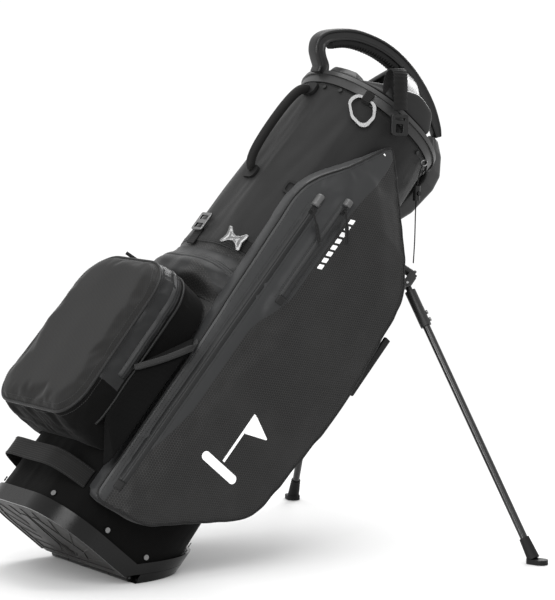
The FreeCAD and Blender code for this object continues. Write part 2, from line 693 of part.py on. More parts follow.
def bolt_direction():
    return DEPLOYED.cross(PIVOT_AXIS).normalize()


def bolt_centres():
    return [LEG_PIVOT + DEPLOYED * 52, LEG_PIVOT + DEPLOYED * 64]


def leg_bolts():
    """Two cross bolts with round heads that clamp the sleeve on the tube."""
    across = bolt_direction()
    bolts = []
    for centre in bolt_centres():
        shank = rod(centre + across * LEG_RADIUS, centre + across * 9, 1.5)
        bolts.append(shank.fuse(rod(centre + across * 8.8, centre + across * 11.4, 3.2)).removeSplitter())
    return Part.makeCompound(bolts)


def leg_tube():
    start = LEG_PIVOT + DEPLOYED * 26
    end = LEG_FOOT - DEPLOYED * 14
    return rod(start, end, LEG_RADIUS).cut(rod(start - DEPLOYED, end + DEPLOYED, LEG_RADIUS - 1))


def leg_foot():
    """Rubber foot: a tapered socket on the tube over a flat oval pad on the ground."""
    up = V(-SIN, 0, COS)
    ahead = (DEPLOYED - up * DEPLOYED.dot(up)).normalize()
    side = up.cross(ahead)
    socket = Part.makeCone(9.5, 7.6, 34, LEG_FOOT - DEPLOYED * 8, DEPLOYED * -1)
    corners = [(-17, -11), (17, -11), (17, 11), (-17, 11)]
    points = [LEG_FOOT + ahead * (a + 2) + side * b for a, b in corners]
    pad = Part.Face(rounded_wire(points, [10.9] * 4)).extrude(up * 7)
    bore = rod(LEG_FOOT - DEPLOYED * 13.9, LEG_FOOT - DEPLOYED * 60, LEG_RADIUS + 0.05)
    return fused(socket, pad).cut(bore)


def actuator_rod():
    """Rod inside the fabric from the heel flap's lug up to a cross bar behind the legs."""
    return fused(rod(V(102, 0, 80), V(102, 0, 592), 2.5), rod(V(102, -40, 592), V(102, 40, 592), 3))


# ---- retaining cord ----

def cord_hook():
    """Small ring at the mouth that the cord hangs from."""
    top = V(*CORD_ROUTE[0])
    outward = V(top.x, top.y, 0).normalize()
    return Part.makeTorus(5, 1.1, top + V(0, 0, 6.6), V(-outward.y, outward.x, 0))


def retaining_cord():
    cord = tube(CORD_ROUTE, CORD_RADIUS)
    points = [V(p) for p in CORD_ROUTE]
    radii = [bend_radius(*corners) for corners in zip(points, points[1:], points[2:])]
    length = tube_path(CORD_ROUTE).Length
    print("cord arc radii, mm:", [round(radius, 1) for radius in radii])
    print("cord length, mm:", round(length, 1))
    print("cord volume and section x length, mm3:", round(cord.Volume, 2),
          round(math.pi * CORD_RADIUS ** 2 * length, 2))
    return cord


def cord_lock():
    """Toggle that slides on the cord, with a bore for its button."""
    centre = V(*CORD_ROUTE[2])
    body = rod(centre + V(-7, 0, 9), centre + V(7, 0, -9), 5.5)
    bore = rod(centre + V(0, -2.2, 0), centre + V(0, -20, 0), 3.4)
    return body.cut(tube(CORD_ROUTE, CORD_RADIUS + 0.5)).cut(bore)


def cord_lock_button():
    centre = V(*CORD_ROUTE[2])
    return rod(centre + V(0, -4, 0), centre + V(0, -8.5, 0), 3.0)


NODES = {
    "base_boot": base_boot, "heel_flap": heel_flap, "tread_plate": tread_plate, "boot_rivets": boot_rivets,
    "heel_hinge_pin": lambda: across_hinge(-111, 111, 2), "body_spine_near": lambda: body_panel(-1, -1),
    "body_spine_far": lambda: body_panel(-1, 1), "body_leg_near": lambda: body_panel(1, -1),
    "body_leg_far": lambda: body_panel(1, 1),
    "divider_panels": divider_panels, "top_collar": top_collar, "divider_cross": divider_cross,
    "rim_pad": rim_pad, "collar_rivets": collar_rivets, "stay_rods": stay_rods, "handle_frame": handle_frame,
    "handle_grip": handle_grip, "leg_side_shield": leg_side_shield, "spine_handle": spine_handle,
    "spine_handle_anchors": spine_handle_anchors, "base_webbing_handle": base_webbing_handle,
    "ball_pocket": ball_pocket, "ball_pocket_zip": ball_pocket_zip, "valuables_pocket": valuables_pocket,
    "stretch_pocket": stretch_pocket, "stretch_binding": stretch_binding,
    "near_pocket": lambda: apparel_pocket(POCKET_FACE_Y), "far_pocket": far_pocket,
    "ball_zip_pull": ball_zip_pull,
    "near_pocket_zips": near_pocket_zips, "zip_hoods": zip_hoods,
    "long_zip_pull": lambda: zip_pull(LONG_ZIP_X, 592), "short_zip_pull": lambda: zip_pull(SHORT_ZIP_X, 620),
    "pocket_tab": pocket_tab, "emblem": emblem, "dash_band": dash_band, "towel_ring": towel_ring,
    "towel_ring_loop": towel_ring_loop, "rim_webbing": rim_webbing, "strap_buckle": strap_buckle,
    "hip_webbing": hip_webbing, "hip_buckles": hip_buckles, "ring_patch": ring_patch,
    "leg_bracket": leg_bracket, "leg_pivot_pins": leg_pivot_pins, "leg_springs": leg_springs,
    "actuator_rod": actuator_rod, "retaining_cord": retaining_cord, "cord_lock": cord_lock,
    "cord_lock_button": cord_lock_button, "cord_hook": cord_hook,
}
PAIRS = {"leg_sleeve": leg_sleeve, "leg_bolts": leg_bolts, "leg_tube": leg_tube, "leg_foot": leg_foot}

for node, make in NODES.items():
    save(node, make())
for node, make in PAIRS.items():
    save_pair(node, make())
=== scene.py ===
"""Looks of the golf stand bag: fabrics, mouldings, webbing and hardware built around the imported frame.

Soft pieces are drawn in the bag's upright frame in millimetres, X towards the legs, -Y the near side,
Z up the bag's axis, and UPRIGHT leans them into the row frame.
"""

import math

import bmesh
import bpy
import numpy as np
from mathutils import Matrix, Vector, noise
from mathutils.bvhtree import BVHTree


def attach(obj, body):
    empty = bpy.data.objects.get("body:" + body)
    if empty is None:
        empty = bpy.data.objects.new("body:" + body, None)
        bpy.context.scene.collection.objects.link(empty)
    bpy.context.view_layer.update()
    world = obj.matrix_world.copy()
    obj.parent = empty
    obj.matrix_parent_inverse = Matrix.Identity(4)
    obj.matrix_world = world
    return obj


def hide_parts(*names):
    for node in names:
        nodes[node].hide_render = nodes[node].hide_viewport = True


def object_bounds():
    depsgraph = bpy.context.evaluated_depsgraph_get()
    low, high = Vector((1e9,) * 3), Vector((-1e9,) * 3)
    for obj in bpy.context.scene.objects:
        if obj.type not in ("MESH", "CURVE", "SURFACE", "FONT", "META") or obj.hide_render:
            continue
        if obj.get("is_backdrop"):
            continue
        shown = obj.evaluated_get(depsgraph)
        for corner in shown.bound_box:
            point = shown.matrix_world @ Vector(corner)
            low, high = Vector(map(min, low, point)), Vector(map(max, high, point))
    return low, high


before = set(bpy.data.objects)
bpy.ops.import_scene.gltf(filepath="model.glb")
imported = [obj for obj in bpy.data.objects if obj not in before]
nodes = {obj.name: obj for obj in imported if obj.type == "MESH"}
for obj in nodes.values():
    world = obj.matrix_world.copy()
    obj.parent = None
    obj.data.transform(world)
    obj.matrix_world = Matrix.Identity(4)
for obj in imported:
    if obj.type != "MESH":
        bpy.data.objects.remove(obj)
cad_low, cad_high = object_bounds()

LEAN = math.radians(41.0)
KNEE_X = 50.0
HEEL_LENGTH = (124.0 + 6.0 + 4.5 - KNEE_X) / math.cos(LEAN)
UPRIGHT = Matrix.Translation(Vector((-KNEE_X * math.cos(LEAN) - HEEL_LENGTH / 2, 0,
                                     KNEE_X * math.sin(LEAN))) / 1000)
UPRIGHT = UPRIGHT @ Matrix.Rotation(LEAN, 4, "Y")
STATIONS = [(124.0, 120.5, 78.0, 0.0, 6.0), (120.0, 119.5, 84.0, 300.0, 3.0),
            (114.5, 116.0, 95.0, 600.0, 0.0), (113.0, 114.0, 108.0, 800.0, 0.0)]
FACE_Y = -155.0
LONG_ZIP_X, SHORT_ZIP_X = -70.0, -35.0
ZIP_STITCH_OFFSET = 9.5
HIP_SEAM_Z, HIP_SEAM_RISE = 478, 8
CORD_ROUTE = [(63.3, -104.9, 783.9), (72, -101, 767), (86, -99.5, 749), (101, -98.5, 730), (118, -99, 709),
              (135, -100, 687), (151, -101, 664)]


# ---- node helpers ----

class Shader:
    """A small builder around one material's node tree."""

    def __init__(self, name, colour, roughness, metallic=0.0, sheen=0.0, specular=0.5, coat=0.0):
        self.material = bpy.data.materials.new(name)
        self.material.use_nodes = True
        self.tree = self.material.node_tree
        self.surface = self.tree.nodes["Principled BSDF"]
        self.surface.inputs["Base Color"].default_value = (*colour, 1)
        self.surface.inputs["Roughness"].default_value = roughness
        self.surface.inputs["Metallic"].default_value = metallic
        self.surface.inputs["Specular IOR Level"].default_value = specular
        self.surface.inputs["Sheen Weight"].default_value = sheen
        self.surface.inputs["Sheen Roughness"].default_value = 0.45
        self.surface.inputs["Coat Weight"].default_value = coat
        self.surface.inputs["Coat Roughness"].default_value = 0.2
        self.heights = []

    def node(self, kind, **inputs):
        made = self.tree.nodes.new(kind)
        for key, value in inputs.items():
            self.put(made, key.replace("_", " "), value)
        return made

    def put(self, node, key, value):
        socket = node.inputs[int(key)] if key.isdigit() else node.inputs[key]
        if isinstance(value, bpy.types.NodeSocket):
            self.tree.links.new(value, socket)
        else:
            socket.default_value = value

    def coords(self, kind):
        if kind == "UV":
            layer = self.node("ShaderNodeUVMap")
            layer.uv_map = "weave"
            return layer.outputs["UV"]
        return self.node("ShaderNodeTexCoord").outputs["Object"]

    def turned(self, vector, angle=0.0, scale=(1, 1, 1)):
        made = self.node("ShaderNodeMapping", Vector=vector, Scale=scale)
        made.inputs["Rotation"].default_value = (0, 0, math.radians(angle))
        return made.outputs["Vector"]

    def bands(self, vector, period, angle=0.0, distortion=0.0):
        """Parallel threads of a given period in metres."""
        wave = self.node("ShaderNodeTexWave", Vector=self.turned(vector, angle),
                         Scale=2 * math.pi / 20 / period,
                         Distortion=distortion)
        wave.bands_direction = "X"
        return wave.outputs["Fac"]

    def noise(self, vector, size, detail=3.0, roughness=0.55):
        made = self.node("ShaderNodeTexNoise", Vector=vector, Scale=1 / size, Detail=detail,
                         Roughness=roughness)
        return made.outputs["Fac"]

    def math(self, operation, a, b=0.0, clamp=False):
        made = self.node("ShaderNodeMath")
        made.operation = operation
        made.use_clamp = clamp
        self.put(made, "0", a)
        self.put(made, "1", b)
        return made.outputs[0]

    def ramp(self, value, low, high, to_low=0.0, to_high=1.0):
        made = self.node("ShaderNodeMapRange", Value=value)
        made.interpolation_type = "SMOOTHSTEP"
        for key, number in [("From Min", low), ("From Max", high), ("To Min", to_low), ("To Max", to_high)]:
            self.put(made, key, number)
        return made.outputs["Result"]

    def mix(self, share, a, b):
        made = self.node("ShaderNodeMix")
        made.data_type = "RGBA"
        self.put(made, "0", share)
        for index, value in ((6, a), (7, b)):
            if isinstance(value, bpy.types.NodeSocket):
                self.tree.links.new(value, made.inputs[index])
            else:
                made.inputs[index].default_value = (*value, 1)
        return made.outputs[2]

    def colour(self, value):
        self.put(self.surface, "Base Color", value)

    def roughness(self, value):
        self.put(self.surface, "Roughness", value)

    def bump(self, height, distance, strength=1.0):
        made = self.node("ShaderNodeBump", Height=height, Distance=distance, Strength=strength)
        if self.heights:
            self.tree.links.new(self.heights[-1], made.inputs["Normal"])
        self.heights.append(made.outputs["Normal"])
        self.tree.links.new(made.outputs["Normal"], self.surface.inputs["Normal"])


# The white studio lifts every dark surface, so levels read off a swatch are taken down by these shares.
MOULDED_SHARE, WOVEN_SHARE = 0.6, 0.62
SHEEN_SHARE, CLOTH_SPECULAR_SHARE = 0.3, 0.5


def grey(level, warm=0.0):
    """A linear colour from an sRGB level of 0 to 255, a little warm or cool."""
    share = level / 255
    linear = ((share + 0.055) / 1.055) ** 2.4 if share > 0.04045 else share / 12.92
    return (linear * (1 + warm), linear, linear * (1 - warm))


def moulded(name, level, roughness, coat=0.0, grain=0.0006, warm=0.0, specular=0.3):
    """Injection-moulded plastic with a fine spark-eroded grain and rubbed edges."""
    level *= MOULDED_SHARE
    made = Shader(name, grey(level, warm), roughness, coat=coat, specular=specular)
    at = made.coords("Object")
    fine = made.noise(at, grain, 2.0)
    broad = made.noise(at, 0.05, 4.0)
    worn = made.node("ShaderNodeNewGeometry").outputs["Pointiness"]
    base = made.mix(broad, grey(level * 0.85, warm), grey(level * 1.12, warm))
    made.colour(made.mix(made.ramp(worn, 0.52, 0.62, 0, 0.35), base, grey(min(level * 1.8, 245), warm)))
    made.roughness(made.ramp(broad, 0.3, 0.7, roughness - 0.06, roughness + 0.08))
    made.bump(fine, 0.00012, 0.5)
    return made.material


def woven(name, level, roughness, period, warm=0.0, sheen=0.25, kind="plain", contrast=0.35, depth=0.0002,
          coords="UV",
          specular=0.4, crumple=0.0006):
    """Cloth: threads in two directions, colour that drifts a little, and shallow crumples."""
    level *= WOVEN_SHARE
    made = Shader(name, grey(level, warm), roughness, sheen=sheen * SHEEN_SHARE,
                  specular=specular * CLOTH_SPECULAR_SHARE)
    at = made.coords(coords)
    if kind == "hex":
        threads = [made.bands(at, period, angle) for angle in (0, 60, -60)]
        pattern = made.math("MULTIPLY", made.math("MULTIPLY", threads[0], threads[1]), threads[2])
        pattern = made.ramp(pattern, 0.02, 0.5)
    elif kind == "twill":
        pattern = made.math("MAXIMUM", made.bands(at, period, 38), made.bands(at, period * 0.55, 90))
    elif kind == "webbing":
        pattern = made.math("MULTIPLY", made.bands(at, period, 0), made.bands(at, period * 1.6, 90))
    elif kind == "mesh":
        pattern = made.math("MULTIPLY", made.bands(at, period, 45), made.bands(at, period, -45))
    else:
        pattern = made.math("MULTIPLY", made.bands(at, period, 0), made.bands(at, period, 90))
    drift = made.noise(at, 0.06, 4.0)
    low, high = grey(level * (1 - contrast), warm), grey(level * (1 + contrast), warm)
    base = made.mix(pattern, low, high)
    made.colour(made.mix(made.ramp(drift, 0.35, 0.75, 0.0, 0.25), base, grey(level * 1.25, warm)))
    made.roughness(made.ramp(pattern, 0.0, 1.0, roughness + 0.1, roughness - 0.1))
    made.bump(drift, crumple, 0.6)
    made.bump(pattern, depth, 0.7)
    return made.material


# ---- mesh helpers, in the upright frame and millimetres ----

def read(items, key, width=1):
    """One property of all of a mesh's parts: whole numbers, or rows of three when width is 3."""
    flat = np.empty(len(items) * width, np.int32 if width == 1 else float)
    items.foreach_get(key, flat)
    return flat if width == 1 else flat.reshape(-1, width)


def box_uv(mesh):
    """Metres on the surface, taken along the two axes that each face lies nearest to."""
    layer = mesh.uv_layers.new(name="weave")
    points = coordinates(mesh)[read(mesh.loops, "vertex_index")]
    normals = read(mesh.polygons, "normal", 3)
    facing = np.repeat(np.abs(normals).argmax(1), read(mesh.polygons, "loop_total"))
    uv = np.where((facing == 0)[:, None], points[:, [1, 2]], points[:, [0, 2]])
    uv = np.where((facing == 2)[:, None], points[:, [0, 1]], uv)
    layer.data.foreach_set("uv", uv.ravel())


def piece(name, points, faces, material, slot=None, body="bag", replaces=(), uv=None, metres=False):
    """A mesh drawn in the upright frame that rides on one body."""
    mesh = bpy.data.meshes.new(name)
    scale = 1.0 if metres else 0.001
    mesh.from_pydata((np.asarray(points, float) * scale).tolist(), [], [list(f) for f in faces])
    mesh.update()
    if uv is None:
        box_uv(mesh)
    else:
        layer = mesh.uv_layers.new(name="weave")
        corner = read(mesh.loops, "vertex_index")
        layer.data.foreach_set("uv", (np.asarray(uv, float)[corner] * scale).ravel())
    made = stood(name, mesh)
    return dress(made, material, body, replaces)


def stood(name, mesh):
    """A new object whose mesh is drawn in the upright frame."""
    made = bpy.data.objects.new(name, mesh)
    bpy.context.scene.collection.objects.link(made)
    made.matrix_world = UPRIGHT
    return made


DRAWN = []


def dress(made, material, body="bag", replaces=()):
    """Gives a piece its materials, body and the nodes that it stands for."""
    DRAWN.append(made)
    made.data.materials.clear()
    for entry in material if isinstance(material, list) else [material]:
        made.data.materials.append(entry)
    for polygon in made.data.polygons:
        polygon.use_smooth = True
    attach(made, body)
    if replaces:
        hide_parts(*replaces)
    return made


def add(made, kind, **settings):
    modifier = made.modifiers.new(kind.title(), kind)
    for key, value in settings.items():
        setattr(modifier, key, value)
    return modifier


def bake(made):
    """Applies every modifier on a piece to its mesh."""
    view = bpy.context.evaluated_depsgraph_get()
    mesh = bpy.data.meshes.new_from_object(made.evaluated_get(view), preserve_all_data_layers=True,
                                           depsgraph=view)
    made.modifiers.clear()
    made.data = mesh


def remesh(made, voxel, smooth):
    """Voxel remesh at a size in millimetres, then smoothing rounds."""
    add(made, "REMESH", mode="VOXEL", voxel_size=voxel / 1000)
    add(made, "SMOOTH", factor=0.5, iterations=smooth)
    bake(made)


def subdivide(made, levels):
    """Rounds a piece off by subdivision."""
    add(made, "SUBSURF", levels=levels, render_levels=levels)
    bake(made)


def grid_faces(rows, columns, wrap=False, close=False):
    """Quads of a grid of points; wrap joins the last column to the first, close the last row to the first."""
    faces = []
    for i in range(rows if close else rows - 1):
        for j in range(columns if wrap else columns - 1):
            a, b = i * columns + j, i * columns + (j + 1) % columns
            c, d = ((i + 1) % rows) * columns + (j + 1) % columns, ((i + 1) % rows) * columns + j
            faces.append((a, b, c, d))
    return faces


def end_caps(rows, width):
    """The two faces that close the ends of a tube of points."""
    return [tuple(range(width - 1, -1, -1)), tuple(range((rows - 1) * width, rows * width))]


def spline(points, steps):
    """A smooth line through a few given points."""
    p = np.asarray(points, float)
    p = np.vstack([2 * p[0] - p[1], p, 2 * p[-1] - p[-2]])
    out = []
    for i in range(1, len(p) - 2):
        t = np.linspace(0, 1, steps, endpoint=False)[:, None]
        a, b, c, d = p[i - 1:i + 3]
        square, cube = 2 * a - 5 * b + 4 * c - d, 3 * b - a - 3 * c + d
        out.append(0.5 * (2 * b + (c - a) * t + square * t ** 2 + cube * t ** 3))
    return np.vstack(out + [p[-2:-1]])


def rounded(points, radii, step=3.0):
    """A closed outline of straight runs joined by arcs, as evenly spaced points."""
    p = [np.asarray(q, float) for q in points]
    radii = radii if isinstance(radii, list) else [radii] * len(p)
    out = []
    for i, radius in enumerate(radii):
        a, b = p[i - 1] - p[i], p[(i + 1) % len(p)] - p[i]
        la, lb = np.linalg.norm(a), np.linalg.norm(b)
        a, b = a / la, b / lb
        half = math.acos(max(-1, min(1, float(a @ b)))) / 2
        reach = min(radius / math.tan(half), 0.48 * la, 0.48 * lb)
        radius = reach * math.tan(half)
        centre = p[i] + (a + b) / np.linalg.norm(a + b) * (radius / math.sin(half))
        start, end = p[i] + a * reach - centre, p[i] + b * reach - centre
        for t in np.linspace(0, 1, max(3, int(radius * (math.pi - 2 * half) / step) + 1)):
            way = start * (1 - t) + end * t
            out.append(centre + way / np.linalg.norm(way) * radius)
    return resample(np.array(out), step, True)


def resample(line, step, closed=False):
    """The same line with evenly spaced points."""
    line = np.vstack([line, line[:1]]) if closed else line
    along = np.concatenate([[0], np.cumsum(np.linalg.norm(np.diff(line, axis=0), axis=1))])
    count = max(2, int(round(along[-1] / step)))
    at = np.linspace(0, along[-1], count + 1)
    out = np.column_stack([np.interp(at, along, line[:, k]) for k in range(line.shape[1])])
    return out[:-1] if closed else out


def circle(radius, count=10, flat=1.0):
    turn = np.linspace(0, 2 * math.pi, count, endpoint=False)
    return np.column_stack([np.cos(turn) * radius, np.sin(turn) * radius * flat])


def sweep(path, profile, up, closed=False, cap=True):
    """Points and faces of a profile of (side, up) pairs carried along a path.

    up is one direction or one per point; profile may be one outline or one per point.
    """
    path = np.asarray(path, float)
    count = len(path)
    ahead = np.roll(path, -1, 0) - np.roll(path, 1, 0) if closed else np.gradient(path, axis=0)
    ahead /= np.linalg.norm(ahead, axis=1)[:, None]
    up = np.broadcast_to(np.asarray(up, float), path.shape)
    side = np.cross(ahead, up)
    side /= np.linalg.norm(side, axis=1)[:, None]
    lift = np.cross(side, ahead)
    profile = np.asarray(profile, float)
    shapes = profile if profile.ndim == 3 else np.broadcast_to(profile, (count, *profile.shape))
    points = path[:, None] + side[:, None] * shapes[..., :1] + lift[:, None] * shapes[..., 1:]
    width = shapes.shape[1]
    faces = grid_faces(count, width, True, closed)
    if cap and not closed:
        faces += end_caps(count, width)
    return points.reshape(-1, 3), faces


def section(z):
    """Half widths, corner radius and centre of the tube at a height."""
    z = np.clip(z, 0, 800)
    table = np.array(STATIONS)
    return [np.interp(z, table[:, 3], table[:, k]) for k in (0, 1, 2, 4)]


def skin(angle, z, out=0.0):
    """Points and outward normals on the fabric tube, angle in degrees, 0 on the leg side."""
    angle, z = np.broadcast_arrays(np.asarray(angle, float), np.asarray(z, float))
    half_x, half_y, radius, centre = section(z)
    dx, dy = np.cos(np.radians(angle)), np.sin(np.radians(angle))
    low, high = np.zeros(angle.shape), np.full(angle.shape, 200.0)
    for _ in range(30):
        middle = (low + high) / 2
        over_x, over_y = np.abs(dx * middle) - (half_x - radius), np.abs(dy * middle) - (half_y - radius)
        outside = np.hypot(np.maximum(over_x, 0), np.maximum(over_y, 0))
        distance = outside + np.minimum(np.maximum(over_x, over_y), 0)
        inside = distance < radius
        low, high = np.where(inside, middle, low), np.where(inside, high, middle)
    over_x = np.maximum(np.abs(dx * low) - (half_x - radius), 1e-6)
    over_y = np.maximum(np.abs(dy * low) - (half_y - radius), 1e-6)
    normal = np.stack([over_x * np.sign(dx), over_y * np.sign(dy), 0 * z], -1)
    normal /= np.linalg.norm(normal, axis=-1)[..., None]
    point = np.stack([centre + dx * low, dy * low, z], -1)
    return point + normal * np.asarray(out, float)[..., None], normal


def tree_of(made):
    """A search tree of a piece's own mesh, in metres in the upright frame."""
    mesh = made.data
    return BVHTree.FromPolygons([v.co for v in mesh.vertices], [tuple(p.vertices) for p in mesh.polygons])


def dropped(line, tree, direction, out):
    """A line moved along a direction onto a piece's surface and raised by out, with the normals there."""
    placed, normals = [], []
    direction = Vector(direction).normalized()
    for p in np.asarray(line, float) / 1000:
        start = Vector(p) - direction * 0.08
        hit, normal, _, _ = tree.ray_cast(start, direction, 0.2)
        if hit is None:
            hit, normal, _, _ = tree.find_nearest(Vector(p))
        if normal.dot(direction) > 0:
            normal = -normal
        placed.append((hit + normal * out / 1000) * 1000)
        normals.append(normal)
    normals = np.array(normals)
    if len(normals) > 6:
        kernel = np.array([1, 2, 3, 2, 1]) / 9
        padded = np.pad(normals, ((2, 2), (0, 0)), mode="edge")
        normals = np.column_stack([np.convolve(padded[:, k], kernel, "valid") for k in range(3)])
    return np.array(placed), normals


def nearest(line, tree, out):
    """A line moved to the nearest place on a surface and raised by out, with the normals there."""
    placed, normals = [], []
    for p in np.asarray(line, float) / 1000:
        hit, normal, _, _ = tree.find_nearest(Vector(p))
        placed.append((hit + normal * out / 1000) * 1000)
        normals.append(normal)
    return np.array(placed), np.array(normals)


def relax(line, rounds=3, closed=True):
    """Evens out small jumps in a line of points."""
    line = np.array(line)
    for _ in range(rounds):
        smoothed = (np.roll(line, 1, 0) + line * 2 + np.roll(line, -1, 0)) / 4
        if not closed:
            smoothed[0], smoothed[-1] = line[0], line[-1]
        line = smoothed
    return line


def strip(name, line, normals, profile, material, slot, body="bag", replaces=()):
    """A sewn-on tape or piping that follows a line lying on a surface."""
    points, faces = sweep(line, profile, normals)
    return piece(name, points, faces, material, slot, body, replaces)


def stitches(name, line, normals, material, pitch=3.6, length=2.3, width=0.45, closed=False, slot=None):
    """A row of short thread stitches along a line on a surface."""
    line = np.asarray(line, float)
    joined = np.hstack([line, np.asarray(normals, float)])
    joined = resample(joined, pitch, closed)
    points, faces = [], []
    for row, following in zip(joined, np.roll(joined, -1, 0) if closed else joined[1:]):
        a, n = row[:3], row[3:] / max(np.linalg.norm(row[3:]), 1e-9)
        ahead = following[:3] - a
        gap = np.linalg.norm(ahead)
        if gap < 1e-6 or gap > 3 * pitch:
            continue
        ahead /= gap
        side = np.cross(ahead, n) * width
        base = len(points)
        for share, rise in ((0, 0), (0.25, 0.32), (0.75, 0.32), (1, 0)):
            centre = a + ahead * length * share + n * rise
            points += [centre - side, centre + n * 0.18, centre + side]
        for i in range(3):
            for j in range(2):
                q = base + i * 3 + j
                faces.append((q, q + 1, q + 4, q + 3))
    return piece(name, points, faces, material, slot)


def flat_profile(width, thick, belly=0.0):
    """A tape's section: side from -width/2 to width/2, rounded edges, and a slight crown."""
    half, t = width / 2, thick
    top = [(-half, t * 0.35), (-half + t * 0.4, t * 0.9), (-half * 0.5, t + belly * 0.8), (0, t + belly),
           (half * 0.5, t + belly * 0.8), (half - t * 0.4, t * 0.9), (half, t * 0.35)]
    return [(half - t * 0.3, -0.2), (-half + t * 0.3, -0.2)] + top


def copied(name, node):
    """A welded copy of a CAD solid's mesh, in the upright frame."""
    mesh = nodes[node].data.copy()
    mesh.name = name
    mesh.transform(UPRIGHT.inverted())
    made = stood(name, mesh)
    add(made, "WELD", merge_threshold=0.00001)
    bake(made)
    return made


def coordinates(mesh):
    """Every vertex of a mesh as rows of three."""
    return read(mesh.vertices, "co", 3)


def set_coordinates(mesh, points):
    mesh.vertices.foreach_set("co", points.ravel())
    mesh.update()


CLOTH = {"quality": 5, "mass": 0.25, "tension_stiffness": 18, "compression_stiffness": 18,
         "shear_stiffness": 8, "bending_stiffness": 1.2, "use_pressure": True}


def plump(name, node, voxel, pressure, held, limit, frames=18, slack=0.0, smooth=2):
    """A padded copy of a CAD solid: blown up as cloth with its seams held, then capped and smoothed.

    held and limit take points in millimetres and give the pinned share and the furthest move in millimetres.
    """
    made = copied(name, node)
    remesh(made, voxel, smooth)
    rest = coordinates(made.data)
    group = made.vertex_groups.new(name="held")
    for level in np.linspace(0.1, 1.0, 10):
        share = held(rest * 1000)
        chosen = np.nonzero((share > level - 0.1) & (share <= level))[0]
        if len(chosen):
            group.add(chosen.tolist(), float(level), "REPLACE")
    cloth = made.modifiers.new("Cloth", "CLOTH")
    cloth.point_cache.frame_end = frames
    for key, value in CLOTH.items():
        setattr(cloth.settings, key, value)
    cloth.settings.uniform_pressure_force = pressure
    cloth.settings.shrink_min = -slack
    cloth.settings.vertex_group_mass = "held"
    cloth.settings.effector_weights.gravity = 0
    scene = bpy.context.scene
    for number in range(1, frames + 1):
        scene.frame_set(number)
    view = bpy.context.evaluated_depsgraph_get()
    blown = coordinates(made.evaluated_get(view).data)
    made.modifiers.clear()
    scene.frame_set(1)
    move = blown - rest
    size = np.linalg.norm(move, axis=1)
    cap = limit(rest * 1000) / 1000
    share = np.where(size > cap, cap / np.maximum(size, 1e-9), 1.0)
    set_coordinates(made.data, rest + move * share[:, None])
    add(made, "SMOOTH", factor=0.5, iterations=3)
    subdivide(made, 1)
    return made


def zoned(made, zone):
    """Gives each face the material number that zone() returns for the faces' middles in millimetres."""
    centres = read(made.data.polygons, "center", 3)
    made.data.polygons.foreach_set("material_index", zone(centres * 1000).astype(np.int32))


def softened(name, node, voxel, material, body="bag", smooth=4):
    """A CAD moulding with its edges rounded over."""
    made = copied(name, node)
    remesh(made, voxel, smooth)
    box_uv(made.data)
    return dress(made, material, body, (node,))


def step(value, low, high):
    """A smooth rise from 0 at low to 1 at high."""
    t = np.clip((np.asarray(value, float) - low) / (high - low), 0, 1)
    return t * t * (3 - 2 * t)


def window(value, low, full, ebb, end):
    """Rises from low to full and falls again from ebb to end."""
    return step(value, low, full) * step(-value, -end, -ebb)


def ripple(a, b, seed):
    """Smooth seeded noise over two arrays, about -1 to 1."""
    a, b = np.broadcast_arrays(np.asarray(a, float), np.asarray(b, float))
    flat = [noise.noise(Vector((x, y, seed))) for x, y in zip(a.ravel(), b.ravel())]
    return np.array(flat).reshape(a.shape) * 1.6


# ---- materials ----

RIPSTOP = woven("ripstop cloth", 44, 0.5, 0.0034, 0.01, 0.3, "hex", 0.3, 0.00025, specular=0.5,
                crumple=0.0010)
WAIST = woven("ripstop cloth glossy", 40, 0.4, 0.0034, 0.02, 0.2, "hex", 0.5, 0.0004, specular=0.5,
              crumple=0.0016)
PLAIN = woven("coated plain weave", 40, 0.5, 0.0014, 0.0, 0.2, "plain", 0.16, 0.00008, specular=0.32)
TWILL = woven("padded twill", 33, 0.66, 0.0030, 0.02, 0.2, "twill", 0.14, 0.00012, specular=0.22,
              crumple=0.0003)
FILM = woven("laminated film", 40, 0.38, 0.0009, -0.03, 0.1, "plain", 0.05, 0.00003, specular=0.4,
             crumple=0.0007)
BASE_CLOTH = woven("base cloth", 14, 0.66, 0.0022, 0.02, 0.12, "plain", 0.35, 0.00015, specular=0.09)
STRETCH = woven("stretch knit", 13, 0.8, 0.0016, 0.0, 0.05, "mesh", 0.5, 0.00012, specular=0.12)
LINING = woven("lining cloth", 46, 0.7, 0.0014, 0.01, 0.3, "plain", 0.15, 0.0001)
WEBBING = woven("ribbed webbing", 30, 0.7, 0.0021, 0.02, 0.2, "webbing", 0.28, 0.0002, specular=0.3,
                crumple=0.0002)
BINDING = woven("binding tape", 34, 0.65, 0.0020, 0.0, 0.25, "twill", 0.2, 0.00012, crumple=0.0002)
ZIP_TAPE = woven("welded zip tape", 52, 0.4, 0.0010, -0.02, 0.1, "plain", 0.05, 0.00003, crumple=0.0002)
PIPING = woven("piping", 26, 0.5, 0.0016, 0.0, 0.15, "twill", 0.2, 0.0001, crumple=0.0001)
THREAD = woven("sewing thread", 44, 0.6, 0.0007, 0.0, 0.3, "twill", 0.3, 0.00005, crumple=0.00005)
CORD = woven("braided cord", 26, 0.7, 0.0012, 0.0, 0.2, "mesh", 0.4, 0.0001, coords="Object",
             crumple=0.00005)
COLLAR = moulded("collar moulding", 62, 0.36, 0.0, specular=0.4)
HANDLE = moulded("handle moulding", 24, 0.34, 0.0, specular=0.35)
BOOT = moulded("boot moulding", 6, 0.2, 0.0, warm=0.01, specular=0.24)
SOLE = moulded("sole rubber", 42, 0.5, warm=0.06)
RUBBER = moulded("matt rubber", 20, 0.6, grain=0.0009, specular=0.2)
BUCKLE = moulded("buckle acetal", 26, 0.35, 0.0)
HOOD = moulded("hood grey", 116, 0.34, 0.2)
